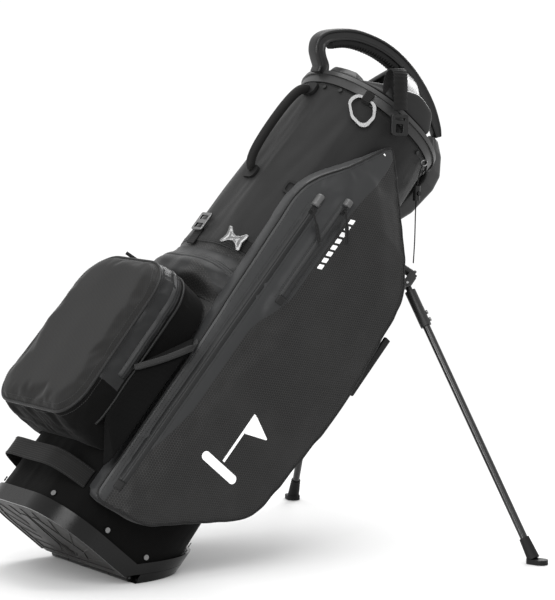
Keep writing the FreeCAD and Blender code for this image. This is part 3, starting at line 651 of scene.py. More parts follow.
LEG_HEAD = moulded("leg head moulding", 40, 0.42, 0.0)
LEG_TUBE = moulded("anodised tube", 12, 0.22, 0.0, grain=0.0003, specular=0.5)
PRINT = moulded("white print", 390, 0.5, grain=0.0004)


def metal(name, level, roughness):
    """Brushed or plated metal with fine scratches."""
    made = Shader(name, grey(level), roughness, metallic=1.0)
    at = made.coords("Object")
    scratches = made.noise(made.turned(at, 20, (1, 14, 1)), 0.002, 4.0)
    made.colour(made.mix(scratches, grey(level * 0.9), grey(min(255, level * 1.06))))
    made.roughness(made.ramp(scratches, 0.3, 0.7, roughness - 0.05, roughness + 0.1))
    made.bump(scratches, 0.00005, 0.3)
    return made.material


SILVER = metal("satin silver", 122, 0.3)
STEEL = metal("plated steel", 120, 0.3)
WIRE = metal("zinc wire", 100, 0.4)


def pocket_cloth():
    """The near pocket's cloth: ripstop towards the legs, film along the spine edge and round the hoods."""
    made = Shader("pocket cloth", grey(31), 0.5, sheen=0.06, specular=0.25)
    flat = made.coords("UV")
    upright = made.node("ShaderNodeMapping", Vector=made.coords("Object"))
    upright.inputs["Rotation"].default_value = (0, -LEAN, 0)
    upright.inputs["Location"].default_value = UPRIGHT.inverted().translation
    at = upright.outputs["Vector"]
    split = made.node("ShaderNodeSeparateXYZ", Vector=at)
    across, up = split.outputs["X"], split.outputs["Z"]
    edge = made.math("ADD", made.ramp(up, 0.08, 0.26, -0.073, -0.046), made.ramp(up, 0.38, 0.48, 0.0, 0.025))
    edge = made.math("ADD", edge, made.ramp(up, 0.62, 0.74, 0.0, 0.024))
    film = made.ramp(made.math("SUBTRACT", across, edge), -0.0008, 0.0008, 1.0, 0.0)
    threads = [made.bands(flat, 0.0034, angle) for angle in (0, 60, -60)]
    hexes = made.math("MULTIPLY", made.math("MULTIPLY", threads[0], threads[1]), threads[2])
    hexes = made.ramp(hexes, 0.02, 0.5)
    drift = made.noise(at, 0.07, 4.0)
    cloth = made.mix(hexes, grey(11, 0.01), grey(54, 0.02))
    cloth = made.mix(made.ramp(drift, 0.35, 0.75, 0, 0.3), cloth, grey(40, 0.01))
    fine = made.noise(flat, 0.0012, 2.0)
    smooth = made.mix(fine, grey(33, -0.03), grey(38, -0.03))
    made.colour(made.mix(film, cloth, smooth))
    rough_cloth = made.ramp(hexes, 0.0, 1.0, 0.58, 0.42)
    made.roughness(made.math("ADD", made.math("MULTIPLY", rough_cloth, made.math("SUBTRACT", 1.0, film)),
                             made.math("MULTIPLY", film, 0.36)))
    made.bump(drift, 0.0010, 0.6)
    made.bump(film, 0.0005, 0.8)
    made.bump(made.math("MULTIPLY", hexes, made.math("SUBTRACT", 1.0, film)), 0.00025, 0.8)
    return made.material


POCKET = pocket_cloth()


# ---- camera, lights and floor ----

CAMERA_AZIMUTH, CAMERA_ELEVATION = 33.262, 5.765        # degrees, from -Y and above the floor
CAMERA_TARGET, CAMERA_DISTANCE, CAMERA_LENS = (0.2738, 0, 0.380), 4.0, 157.3
SKY_STRENGTH = 1.05
LIGHT_TARGET = (0.2, 0, 0.35)
LIGHTS = [("key", (-1.6, -2.2, 2.6), 1.8, 60), ("top", (0.6, 0.4, 3.2), 2.4, 60),        # place, size, watts
          ("rim", (2.6, 1.6, 1.8), 1.4, 45), ("low", (-2.4, -0.6, 0.7), 1.0, 34)]
FLOOR_HALF, FLOOR_CENTRE = 2, (0.15, 0.05, 0)
FLOOR_FADE = (0.5, 1.25)                                # metres from its centre, where it turns clear


def set_stage():
    """Camera, white sky, soft area lights and a pale floor that fades out."""
    scene = bpy.context.scene
    azimuth, elevation = math.radians(CAMERA_AZIMUTH), math.radians(CAMERA_ELEVATION)
    back = Vector((-math.sin(azimuth) * math.cos(elevation), -math.cos(azimuth) * math.cos(elevation),
                   math.sin(elevation)))
    camera = bpy.data.objects.new("camera", bpy.data.cameras.new("camera"))
    camera.location = Vector(CAMERA_TARGET) + back * CAMERA_DISTANCE
    camera.rotation_mode = "QUATERNION"
    camera.rotation_quaternion = (-back).to_track_quat("-Z", "Y")
    camera.data.lens = CAMERA_LENS
    camera.data.sensor_width = 36
    camera.data.clip_end = 200
    scene.collection.objects.link(camera)
    scene.camera = camera
    scene.view_settings.view_transform = "Standard"
    world = bpy.data.worlds.new("studio")
    world.use_nodes = True
    world.node_tree.nodes["Background"].inputs["Color"].default_value = (1, 1, 1, 1)
    world.node_tree.nodes["Background"].inputs["Strength"].default_value = SKY_STRENGTH
    scene.world = world
    for name, place, size, watts in LIGHTS:
        light = bpy.data.objects.new(name, bpy.data.lights.new(name, "AREA"))
        light.data.size = size
        light.data.energy = watts
        light.location = place
        aim = Vector(LIGHT_TARGET) - Vector(place)
        light.rotation_mode = "QUATERNION"
        light.rotation_quaternion = aim.to_track_quat("-Z", "Y")
        scene.collection.objects.link(light)
    floor_material = Shader("pale floor", (0.62, 0.62, 0.62), 0.7, specular=0.2)
    at = floor_material.coords("Object")
    floor_material.colour(floor_material.mix(floor_material.noise(at, 0.8, 2.0), (0.61, 0.61, 0.61),
                                             (0.64, 0.64, 0.64)))
    reach = floor_material.node("ShaderNodeVectorMath")
    reach.operation = "LENGTH"
    floor_material.put(reach, "0", at)
    fade = floor_material.ramp(reach.outputs["Value"], *FLOOR_FADE, 1.0, 0.0)
    floor_material.put(floor_material.surface, "Alpha", fade)
    mesh = bpy.data.meshes.new("floor")
    corners = [(-1, -1), (1, -1), (1, 1), (-1, 1)]
    mesh.from_pydata([(x * FLOOR_HALF, y * FLOOR_HALF, -0.0005) for x, y in corners], [], [(0, 1, 2, 3)])
    floor = bpy.data.objects.new("floor", mesh)
    mesh.materials.append(floor_material.material)
    floor.location = FLOOR_CENTRE
    scene.collection.objects.link(floor)
    floor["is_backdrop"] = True


set_stage()


# ---- retaining cord ----

def retaining_cord():
    """The thin cord from the ring at the mouth to the leg bracket."""
    curve = bpy.data.curves.new("retaining_cord_line", "CURVE")
    curve.dimensions = "3D"
    line = curve.splines.new("NURBS")
    line.points.add(len(CORD_ROUTE) - 1)
    for point, place in zip(line.points, CORD_ROUTE):
        point.co = (*(UPRIGHT @ (Vector(place) / 1000)), 1)
    line.order_u = 3
    line.use_endpoint_u = True
    line.resolution_u = 12
    made = bpy.data.objects.new("retaining_cord_line", curve)
    bpy.context.scene.collection.objects.link(made)
    flat = bpy.data.meshes.new_from_object(made)
    bpy.data.meshes.remove(flat)
    curve.bevel_depth = 0.001
    curve.bevel_resolution = 3
    curve.use_fill_caps = True
    curve.materials.append(CORD)
    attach(made, "bag")
    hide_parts("retaining_cord")


retaining_cord()


# ---- fabric tube, dividers and mouth ----

def hip_seam(angle, rise=0.0):
    """The height of the seam round the hip, in millimetres."""
    return HIP_SEAM_Z + rise + HIP_SEAM_RISE * np.cos(np.radians(angle - 180))


def bag_shell():
    """The sewn tube, with a seam round the hip, slack creases and a lining."""
    columns, rows = 260, 190
    angle = np.linspace(0, 360, columns)[None, :]
    share = np.linspace(0, 1, rows)[:, None]
    foot, _ = skin(angle, 15.0)
    bottom = np.maximum(9.0, (foot[..., 0] - KNEE_X) * math.tan(LEAN) + 17 / math.cos(LEAN))
    z = bottom + share * (799.2 - bottom)
    angle = angle + 0 * z
    around = np.radians(angle) * 115
    closed = 1 - step(np.abs(angle - 180), 172, 180)
    out = -0.8 + closed * 1.5 * ripple(around / 34, z / 210, 3.1) * (0.35 + 0.65 * step(z, 470, 560))
    crease = ripple(around / 30 + z / 90, z / 70 - around / 120, 9.7)
    out += closed * 1.6 * crease * window(z, 370, 420, 455, 480)
    out += closed * 0.5 * ripple(around / 12, z / 50, 5.5)
    out -= 2.4 * window(z, 620, 690, 750, 792) * np.exp(-((angle - 204) / 5.5) ** 2) * closed
    out -= 2.2 * window(z, 590, 680, 740, 790) * np.exp(-((angle - 219 - (z - 700) / 14) / 5.0) ** 2)
    seam = hip_seam(angle)
    out += 1.0 * window(z, seam, seam + 2, seam + 6, seam + 40) - 1.4 * np.exp(-((z - seam + 3) / 4) ** 2)
    quiet = np.exp(-((angle - 180) / 10) ** 2) * (np.exp(-((z - 784) / 16) ** 2)
                                                  + np.exp(-((z - 621) / 16) ** 2))
    out = out * (1 - np.clip(quiet, 0, 1)) * (1 - step(z, 775, 797)) - 0.8 * step(z, 775, 797)
    points, _ = skin(angle, z, np.clip(out, -4.0, 0.6))
    uv = np.stack([around, z], -1).reshape(-1, 2)
    faces = grid_faces(rows, columns)
    made = piece("bag_shell", points.reshape(-1, 3), faces, [PLAIN, LINING, WAIST, BASE_CLOTH],
                 "ripstop_black", "bag",
                 ("body_spine_near", "body_spine_far", "body_leg_near", "body_leg_far"), uv)
    zoned(made, lambda c: np.where(c[:, 2] > HIP_SEAM_Z - HIP_SEAM_RISE * c[:, 0] / 117, 0,
                                   np.where(c[:, 2] > 330, 2, 3)))
    add(made, "SOLIDIFY", thickness=0.0022, offset=-1.0, material_offset=1)
    bake(made)
    return made


def dividers():
    """The lining walls between the four wells, a little slack, and the padded bars on top of them."""
    walls = (("divider_wall_along", 0, ("divider_panels",)), ("divider_wall_across", 90, ()))
    for name, turn, replaces in walls:
        rows, columns = 70, 40
        across = np.linspace(-104, 104, columns)[None, :]
        floor_z = 30 + (np.maximum(0, across - 30) * 0.87 if turn == 0 else 0 * across)
        z = floor_z + np.linspace(0, 1, rows)[:, None] * (774 - floor_z)
        across = across + 0 * z
        slack = 2.2 * ripple(across / 60, z / 160, 2.0 + turn)
        slack = slack * (1 - step(np.abs(across), 60, 100)) * step(-z, -770, -700)
        points = np.stack([across, slack, z], -1) if turn == 0 else np.stack([slack, across, z], -1)
        made = piece(name, points.reshape(-1, 3), grid_faces(rows, columns), LINING, "lining_grey", "bag",
                     replaces)
        add(made, "SOLIDIFY", thickness=0.0016, offset=0.0)
        bake(made)
    turn = np.linspace(0, 2 * math.pi, 20, endpoint=False)
    profile = np.column_stack([6.2 * np.sign(np.cos(turn)) * np.abs(np.cos(turn)) ** 0.7,
                               10.5 * np.sign(np.sin(turn)) * np.abs(np.sin(turn)) ** 0.7])
    for name, direction, replaces in (("divider_bar_along", (1, 0, 0), ("divider_cross",)),
                                      ("divider_bar_across", (0, 1, 0), ())):
        reach = np.linspace(-104, 104, 60)
        pinch = 1 - 0.10 * np.exp(-(reach / 9) ** 2) + 0.02 * ripple(reach / 20, 0, 4.0)
        path = np.outer(reach, direction) + (0, 0, 787)
        shapes = profile[None] * pinch[:, None, None]
        points, faces = sweep(path, shapes, (0, 0, 1))
        made = piece(name, points, faces, LINING, "lining_grey", "bag", replaces)


def mouth():
    """The padded sill between the collar and the handle's rear post."""
    made = copied("rim_pad_soft", "rim_pad")
    add(made, "REMESH", mode="VOXEL", voxel_size=0.002)
    add(made, "SMOOTH", factor=0.5, iterations=5)
    subdivide(made, 1)
    box_uv(made.data)
    dress(made, COLLAR, "bag", ("rim_pad",))


def seams_on_tube(shell):
    """The snap, the stitches and the piping on the fabric tube."""
    tree = tree_of(shell)
    snap, normal = skin(286, 735.0)
    path = [snap + normal * rise for rise in (-0.5, 0.9, 1.6, 1.8)]
    shapes = [circle(radius, 20) for radius in (4.2, 4.2, 3.6, 2.0)]
    piece("side_snap", *sweep(path, shapes, (0, 0, 1)), STEEL, "silver_metal")
    for name, rise in (("hip_seam_stitch_low", 4.5), ("hip_seam_stitch_high", 8.5)):
        angle = np.linspace(100, 262, 300)
        ring, _ = skin(angle, hip_seam(angle, rise), 3)
        line, normals = nearest(ring, tree, 0.05)
        stitches(name, line, normals, THREAD, slot="ripstop_black")
    angle = np.linspace(100, 262, 300)
    ring, _ = skin(angle, hip_seam(angle, 0.5), 3)
    line, normals = nearest(ring, tree, 0.1)
    strip("hip_seam_piping", relax(line, 4, False), normals, circle(1.0, 8), PIPING, "smooth_black")
    angle = np.linspace(0, 357, 420)
    ring, _ = skin(angle, 791.5 + 0 * angle, 3)
    line, normals = nearest(ring, tree, 0.05)
    stitches("collar_stitch", line, normals, THREAD, slot="ripstop_black")


# ---- near and far pockets ----

POCKET_OUTLINE = [(-90, 54), (-6, 66), (139, 180), (161, 400), (142, 592), (-8, 770), (-102, 622),
                  (-92, 300)]
POCKET_RADII = [14, 70, 76, 300, 90, 7, 120, 400]


def pocket_face_y(x, z, face):
    """The side pocket's outer face: flat, slanted back near the spine edge and tapering to the top."""
    slant = np.maximum(0, -40 - x) * 79 / 152
    taper = np.maximum(0, z - 640) * (-face - 118.5) / 135
    return face + np.maximum(slant, taper)


def near_zip(points):
    """How far points are from the two zips, the badge and the dashes, in millimetres."""
    x, z = points[:, 0], points[:, 2]
    long_zip = np.abs(x - LONG_ZIP_X)
    short_zip = np.hypot(x - SHORT_ZIP_X, np.maximum(0, 440 - z))
    badge = np.hypot(np.maximum(0, np.abs(x - 43) - 42), np.maximum(0, np.abs(z - 249) - 56))
    dashes = np.hypot(np.maximum(0, np.abs(x + 12) - 6), np.maximum(0, np.abs(z - 576) - 54))
    return np.minimum(np.minimum(long_zip, short_zip), np.minimum(badge, dashes))


def outline_distance(points, outline):
    """How far flat points are from a closed outline."""
    best = np.full(len(points), 1e9)
    for a, b in zip(outline, np.roll(outline, -1, 0)):
        ab = b - a
        t = np.clip(((points - a) @ ab) / max(ab @ ab, 1e-9), 0, 1)
        best = np.minimum(best, np.linalg.norm(points - a - t[:, None] * ab, axis=1))
    return best


def side_pocket(name, node, face, zips, material):
    """One of the two long side pockets, padded and a little wavy."""
    outline = rounded(POCKET_OUTLINE, POCKET_RADII, 6.0)

    def held(p):
        depth = np.abs(p[:, 1]) - (np.abs(face) - 12)
        edge = outline_distance(p[:, [0, 2]], outline)
        on_back = 1 - step(depth, -16, 0)
        seam = 1 - step(edge, 2, 10)
        high = step(p[:, 2], 690, 720)
        return np.maximum(np.maximum(on_back * 0.9, seam), high)

    def limit(p):
        cap = 1.0 + 5.5 * step(outline_distance(p[:, [0, 2]], outline), 6, 60)
        if zips:
            cap = np.minimum(cap, 0.7 + 5.0 * step(near_zip(p), 8, 45))
        return cap

    made = plump(name, node, 5.0, 3.0, held, limit, slack=0.02)
    p = coordinates(made.data) * 1000
    outward = np.sign(face)
    on_face = step(np.abs(p[:, 1]), abs(face) - 10, abs(face) - 3)
    calm = step(near_zip(p), 4, 40) if zips else 1.0
    fade = step(outline_distance(p[:, [0, 2]], outline), 4, 40)
    wave = 1.3 * ripple(p[:, 0] / 80 + p[:, 2] / 260, p[:, 2] / 120, 1.7)
    wave = wave + 0.5 * ripple(p[:, 0] / 34, p[:, 2] / 46, 6.1)
    p[:, 1] += outward * on_face * calm * fade * (wave - 0.6)
    set_coordinates(made.data, p / 1000)
    box_uv(made.data)
    dress(made, material, "bag", (node,))
    return made


def pocket_edges(name, made, face, keep=None):
    """Piping and topstitching round a side pocket's face."""
    tree = tree_of(made)
    for label, inset, out, round_bar in (("piping", 1.0, 0.5, 1.5), ("stitch", 6.5, 0.05, 0)):
        outline = rounded(POCKET_OUTLINE, POCKET_RADII, 4.0)
        centre = outline.mean(0)
        ahead = np.roll(outline, -1, 0) - np.roll(outline, 1, 0)
        inward = np.column_stack([-ahead[:, 1], ahead[:, 0]]) / np.linalg.norm(ahead, axis=1)[:, None]
        inward *= np.sign(((centre - outline) * inward).sum(1))[:, None]
        flat = outline + inward * inset
        y = pocket_face_y(flat[:, 0], flat[:, 1], -abs(face)) * -np.sign(face)
        if keep is not None:
            chosen = keep(flat)
            start = int(np.argmax(~chosen)) if (~chosen).any() else 0
            order = np.roll(np.arange(len(flat)), -start)
            order = order[chosen[order]]
            flat, y = flat[order], y[order]
        line = np.column_stack([flat[:, 0], y, flat[:, 1]])
        placed, normals = nearest(line, tree, out)
        looped = keep is None
        placed = relax(placed, 3, looped)
        if round_bar:
            points, faces = sweep(placed, circle(round_bar, 8), (0, np.sign(face), 0), closed=looped)
            piece(name + "_" + label, points, faces, PIPING, "smooth_black")
        else:
            stitches(name + "_" + label, placed, normals, THREAD, closed=looped, slot="ripstop_black")


def up_face(x, z, y=-170.0):
    """A line of points at one x, standing off the near pocket's face."""
    return np.column_stack([np.full(len(z), x), np.full(len(z), y), z])


def zip_section(half, edge, lips, groove):
    """A welded zip's section: tape edges, the corners of one raised lip, and the groove between the two."""
    left = [(-half, edge)] + [(-side, up) for side, up in lips]
    right = [(-side, up) for side, up in reversed(left)]
    return [(half, -0.3), (-half, -0.3)] + left + [(0, groove)] + right


def zip_line(name, x, z0, z1, tree, width=15.0):
    """A welded zip: flat tape with two raised lips that close over the teeth."""
    z = np.arange(z0, z1 + 1, 6.0)
    placed, normals = dropped(up_face(x, z), tree, (0, 1, 0), 0.0)
    half = width / 2
    profile = zip_section(half, 0.15, [(3.4, 0.35), (2.9, 0.95), (0.5, 1.1)], 0.4)
    strip(name, relax(placed, 4, False), normals, profile, ZIP_TAPE, "welded_zip")


def tab(name, x, z0, z1, tree, width, thick, material, slot):
    """A small reinforced patch or bartack that lies on the pocket's face."""
    z = np.linspace(z0, z1, 6)
    placed, normals = dropped(up_face(x, z), tree, (0, 1, 0), 0.2)
    strip(name, placed, normals, flat_profile(width, thick), material, slot)


def zip_hood(name, x, z0, z1, tree, replaces=()):
    """A barrel-shaped moulded hood over the top of a zip."""
    z = np.linspace(z0, z1, 14)
    placed, normals = dropped(up_face(x, z), tree, (0, 1, 0), 0.0)
    turn = np.linspace(0, math.pi, 12)
    base = np.column_stack([-np.cos(turn) * 6.4, np.sin(turn) ** 0.8 * 7.4])
    base = np.vstack([[(6.4, -0.5), (-6.4, -0.5)], base])
    share = np.linspace(0, 1, 14)
    grow = 0.86 + 0.14 * np.minimum(1, np.minimum(share / 0.12, (1 - share) / 0.12))
    strip(name, placed, normals, base[None] * grow[:, None, None], HOOD, "hood_grey", replaces=replaces)


def sew_side_pockets():
    """Both side pockets with their piping, zips, hoods, stitches and tags."""
    near = side_pocket("near_pocket_soft", "near_pocket", FACE_Y, True, POCKET)
    pocket_edges("near_pocket", near, FACE_Y)
    tree = tree_of(near)
    zip_line("long_zip_welded", LONG_ZIP_X, 98, 602, tree)
    zip_line("short_zip_welded", SHORT_ZIP_X, 458, 630, tree)
    tab("long_zip_foot", LONG_ZIP_X, 86, 99, tree, 13, 2.0, BINDING, "smooth_black")
    tab("short_zip_foot", SHORT_ZIP_X, 447, 459, tree, 13, 2.0, BINDING, "smooth_black")
    zip_hood("long_zip_hood", LONG_ZIP_X, 601, 620, tree, ("zip_hoods", "near_pocket_zips"))
    zip_hood("short_zip_hood", SHORT_ZIP_X, 629, 640, tree)
    zips = (("long_zip_stitch", LONG_ZIP_X, 92, 606), ("short_zip_stitch", SHORT_ZIP_X, 452, 634))
    for name, x, low, high in zips:
        for side, offset in (("leg", ZIP_STITCH_OFFSET), ("spine", -ZIP_STITCH_OFFSET)):
            z = np.arange(low, high, 5.0)
            placed, normals = dropped(up_face(x + offset, z, -175.0), tree, (0, 1, 0), 0.05)
            stitches(name + "_" + side, placed, normals, THREAD, slot="ripstop_black")
    tab("edge_tag", -17, 754, 756, tree, 4, 0.4, PRINT, "print_white")
    far = side_pocket("far_pocket_soft", "far_pocket", 137.0, False, RIPSTOP)
    pocket_edges("far_pocket", far, 137.0, keep=lambda p: p[:, 0] > -24)
    made = softened("pocket_tab_soft", "pocket_tab", 1.4, BINDING)


# ---- spine pockets ----

def arch_line(x, z0, z1, low, high, radii, near_z=None):
    """The ball pocket's outline at one depth, as points."""
    flat = rounded([(-low, z0), (low, z0), (high, z1), (-high, z1)], radii, 4.0)
    if near_z is not None:
        keep = flat[:, 1] > near_z
        start = int(np.argmax(~keep))
        order = np.roll(np.arange(len(flat)), -start)
        flat = flat[order[keep[order]]]
    return np.column_stack([np.full(len(flat), float(x)), flat[:, 0], flat[:, 1]])


def ball_pocket():
    """The big padded pocket: a twill lid, a film gusset with the zip in it, and a plain base behind."""
    def held(p):
        back = step(p[:, 0], -140, -120)
        rim = 1 - step(np.abs(p[:, 0] + 187), 1.5, 5)
        seam = (1 - step(np.abs(p[:, 0] + 150), 2, 5)) * step(-p[:, 0], -200, 0)
        inner = step(120 - np.hypot(p[:, 0], p[:, 1]), -3, 0)
        return np.maximum(np.maximum(back, inner), np.maximum(rim * 0.6, seam * 0.7))

    def limit(p):
        return 1.2 + 3.4 * step(-p[:, 0], 186, 194) + 2.2 * step(-p[:, 0], 150, 165)

    made = plump("ball_pocket_soft", "ball_pocket", 4.0, 3.5, held, limit, slack=0.03)
    p = coordinates(made.data) * 1000
    outer = step(np.hypot(p[:, 1] / 118, (p[:, 2] - 262) / 134), 0.8, 0.95)
    gusset = step(-p[:, 0], 138, 158) * step(p[:, 0], -187, -180) * outer
    lid = step(-p[:, 0], 186, 193)
    fold = 1.8 * ripple(p[:, 2] / 30 + p[:, 1] / 44, p[:, 0] / 60, 12.0)
    middle = np.array([0, 0, 262.0])
    way = p - middle
    way[:, 0] = 0
    way /= np.maximum(np.linalg.norm(way, axis=1), 1)[:, None]
    p += way * (gusset * (fold - 0.9))[:, None]
    p[:, 0] -= lid * 0.5 * ripple(p[:, 1] / 70, p[:, 2] / 90, 8.0)
    set_coordinates(made.data, p / 1000)
    box_uv(made.data)
    dress(made, [TWILL, FILM, BASE_CLOTH], "bag", ("ball_pocket",))
    zoned(made, lambda c: np.where(c[:, 0] < -187, 0, np.where((c[:, 0] < -150) & (c[:, 2] > 196), 1, 2)))
    tree = tree_of(made)
    for name, x, shape, radius in (("ball_lid_piping", -187, (126, 395, 120, 108), 2.2),
                                   ("ball_base_piping", -145.4, (120, 400, 126, 114), 1.8)):
        line = arch_line(x, *shape, [46, 46, 62, 62], None if x < -180 else 140)
        placed, normals = nearest(line, tree, 0.6)
        closed = x < -180
        placed = relax(placed, 4, closed)
        points, faces = sweep(placed, circle(radius, 10), normals, closed=closed)
        piece(name, points, faces, PIPING, "smooth_black")
    for name, x, shape, ring in (("ball_lid_stitch", -194, (134, 386, 112, 100), True),
                                 ("ball_gusset_stitch", -181, (124, 398, 123, 111), True)):
        line = arch_line(x, *shape, [42, 42, 58, 58])
        placed, normals = nearest(line, tree, 0.05)
        stitches(name, placed, normals, THREAD, closed=ring, slot="twill_black")
    line = arch_line(-157, 120, 400, 126, 114, [46, 46, 62, 62], 215)
    placed, normals = nearest(line, tree, 0.0)
    placed = relax(placed, 5, False)
    profile = zip_section(7.5, 0.3, [(3.4, 0.6), (2.9, 1.6), (0.5, 1.8)], 1.1)
    strip("ball_zip_welded", placed, normals, profile, ZIP_TAPE, "welded_zip", replaces=("ball_pocket_zip",))
    garage = [(-157, y, 403.0) for y in (6, 10, 14)]
    placed, normals = nearest(garage, tree, 1.5)
    strip("ball_zip_garage", placed, normals, flat_profile(16, 1.6), RUBBER, "rubber_black")


def valuables_pocket():
    """The low pocket above the ball pocket: film that swells off the tube, with a curved welded zip."""
    angle = np.linspace(106, 254, 120)[None, :]
    z = np.linspace(398, 474, 60)[:, None]
    swell = step(74 - np.abs(angle - 180), 0, 46) * window(z, 396, 424, 436, 474)
    loose = step(np.abs(angle - 180), 34, 52) * window(z, 398, 410, 462, 474)
    out = 0.9 + 16.5 * swell + 1.0 * ripple(angle / 12, z / 18, 21.0) * swell
    out += loose * (1.6 + 2.6 * ripple(angle / 9 - z / 26, z / 40 + angle / 30, 33.0))
    points, _ = skin(angle, z, np.maximum(out, 0.6))
    uv = np.stack([np.radians(angle) * 115 + 0 * z, z + 0 * angle], -1).reshape(-1, 2)
    made = piece("valuables_pocket_soft", points.reshape(-1, 3), grid_faces(60, 120), [FILM, WAIST],
                 "smooth_black",
                 "bag", ("valuables_pocket",), uv)
    low = lambda c: c[:, 2] < 450 - 8 * np.abs(c[:, 1] / 60) ** 3
    zoned(made, lambda c: low(c).astype(int) * (np.abs(c[:, 1]) > 40))
    tree = tree_of(made)
    turn = np.linspace(-1, 1, 60)
    line, _ = skin(180 + turn * 62, 455 - 4 * turn ** 2 - 22 * np.abs(turn) ** 5, 10)
    placed, normals = nearest(line, tree, 0.0)
    profile = zip_section(6, 0.2, [(3.0, 1.1), (0.5, 1.3)], 0.6)
    strip("valuables_zip_welded", relax(placed, 4, False), normals, profile, ZIP_TAPE, "welded_zip")
    for side, angle in (("far", 118), ("near", 242)):
        line, _ = skin(np.full(2, angle), np.array([426.0, 436.0]), 10)
        placed, normals = nearest(line, tree, 0.3)
        strip("valuables_bartack_" + side, placed, normals, flat_profile(9, 1.3), RUBBER, "rubber_black")


def stretch_pocket():
    """The knitted pocket across the near corner and the tape along its mouth."""
    made = softened("stretch_pocket_soft", "stretch_pocket", 2.0, STRETCH)
    p = coordinates(made.data) * 1000
    outer = step(-(p[:, 1] + (p[:, 0] + 144) * 21 / 36), 124, 129)
    p[:, 1] += outer * (1.6 * ripple(p[:, 2] / 40, p[:, 0] / 30, 15.0) + 1.2)
    set_coordinates(made.data, p / 1000)
    line = spline([(-151, -124.5, 239), (-146, -129.5, 246), (-128, -141.2, 274), (-112, -150.8, 303),
                   (-106, -150.2, 314),
                   (-101.5, -139.5, 322), (-97.5, -127, 328)], 10)
    ahead = np.gradient(line, axis=0)
    normals = np.column_stack([ahead[:, 1], -ahead[:, 0], 0 * ahead[:, 0]])
    normals /= np.linalg.norm(normals, axis=1)[:, None]
    strip("stretch_tape", line + normals * 0.3, normals, flat_profile(9.5, 1.5, 0.3), BINDING,
          "smooth_black",
          replaces=("stretch_binding",))
    stitches("stretch_tape_stitch", line + normals * 2.0 - (0, 0, 2.6), normals, THREAD, slot="smooth_black")


# ---- handles, webbing and hardware ----

FLANK = [(1, 0.6), (0.93, 0.85), (0.75, 1.0), (0.5, 1.0), (0.42, 0.76)]
BEAM = ([(1, -0.6)] + FLANK + [(-a, b) for a, b in reversed(FLANK)] + [(-a, -b) for a, b in FLANK]
        + [(a, -b) for a, b in reversed(FLANK[1:])])



def rounded_bar(thick, wide):
    """A bar's section with soft corners."""
    a, b, r = thick / 2, wide / 2, min(thick, wide) * 0.28
    return [(a, r - b), (a, b - r), (a - r * 0.3, b - r * 0.3), (a - r, b), (r - a, b),
            (r * 0.3 - a, b - r * 0.3),
            (-a, b - r), (-a, r - b), (r * 0.3 - a, r * 0.3 - b), (r - a, -b), (a - r, -b),
            (a - r * 0.3, r * 0.3 - b)]


def top_handle():
    """The moulded arch with grooved flanks, its two arms, their roots and the ribbed grip underneath."""
    stations = [(-119, 812, 22, 12), (-124, 823, 20, 12), (-136, 830, 19, 12), (-146, 838, 20, 12),
                (-150.5, 851, 21, 12), (-141, 869, 20, 12),
                (-110, 896, 20, 12), (-66, 915.5, 20, 12), (-22, 923, 20, 12), (26.5, 921, 20, 8.4),
                (71, 908, 21, 7.8), (103, 892.5, 17, 7.8), (118, 882, 12, 7.8)]
    smooth = spline(stations, 9)
    path = np.column_stack([smooth[:, 0], 0 * smooth[:, 0], smooth[:, 1]])
    shapes = np.array(BEAM)[None] * np.stack([smooth[:, 2] / 2, smooth[:, 3]], -1)[:, None]
    points, faces = sweep(path, shapes, (0, 1, 0))
    made = piece("handle_arch", points, faces, HANDLE, "collar_black", "bag", ("handle_frame",))
    subdivide(made, 2)
    for sign, side in ((-1, "near"), (1, "far")):
        route = spline([(4, sign * 2, 917), (4, sign * 38, 890), (4, sign * 82, 849.5),
                        (4, sign * 111.5, 821)], 12)
        made = piece("handle_arm_" + side, *sweep(route, rounded_bar(13, 38), (1, 0, 0)), HANDLE,
                     "collar_black")
        subdivide(made, 2)
        x = np.linspace(-91, 34, 48)
        heights = np.interp(x, [-94, -66, -40, -16, 24, 36], [1, 18, 28, 39, 33, 1])
        heights = np.convolve(np.pad(heights, 3, mode="edge"), np.ones(7) / 7, "valid")
        route = np.column_stack([x, sign * np.sqrt(112.0 ** 2 - x ** 2), 820.4 + 0 * x])
        shapes = [[(5.4, 0), (5.4, h * 0.5), (5.2, h - 3), (3, h), (-3, h), (-5.2, h - 3), (-5.4, h * 0.5),
                   (-5.4, 0)]
                  for h in np.maximum(heights, 4)]
        made = piece("handle_root_" + side, *sweep(route, shapes, (0, 0, 1)), HANDLE, "collar_black")
        subdivide(made, 1)
    under = resample(smooth[int(9 * 4.9):int(9 * 8.3)], 0.9)
    ahead = np.gradient(under[:, :2], axis=0)
    ahead /= np.linalg.norm(ahead, axis=1)[:, None]
    route = np.column_stack([under[:, 0] + ahead[:, 1] * (under[:, 2] / 2 + 2.5), 0 * under[:, 0],
                             under[:, 1] - ahead[:, 0] * (under[:, 2] / 2 + 2.5)])
    ribs = 0.92 + 0.22 * np.sign(np.sin(np.linspace(0, 2 * math.pi * 26, len(route))))
    grip = np.array(rounded_bar(13.0, 21))[None] * np.stack([ribs, 0 * ribs + 0.98], -1)[:, None]
    made = piece("handle_grip_ribbed", *sweep(route, grip, (0, 1, 0)), RUBBER, "rubber_black", "bag",
                 ("handle_grip",))
    for polygon in made.data.polygons:
        polygon.use_smooth = False


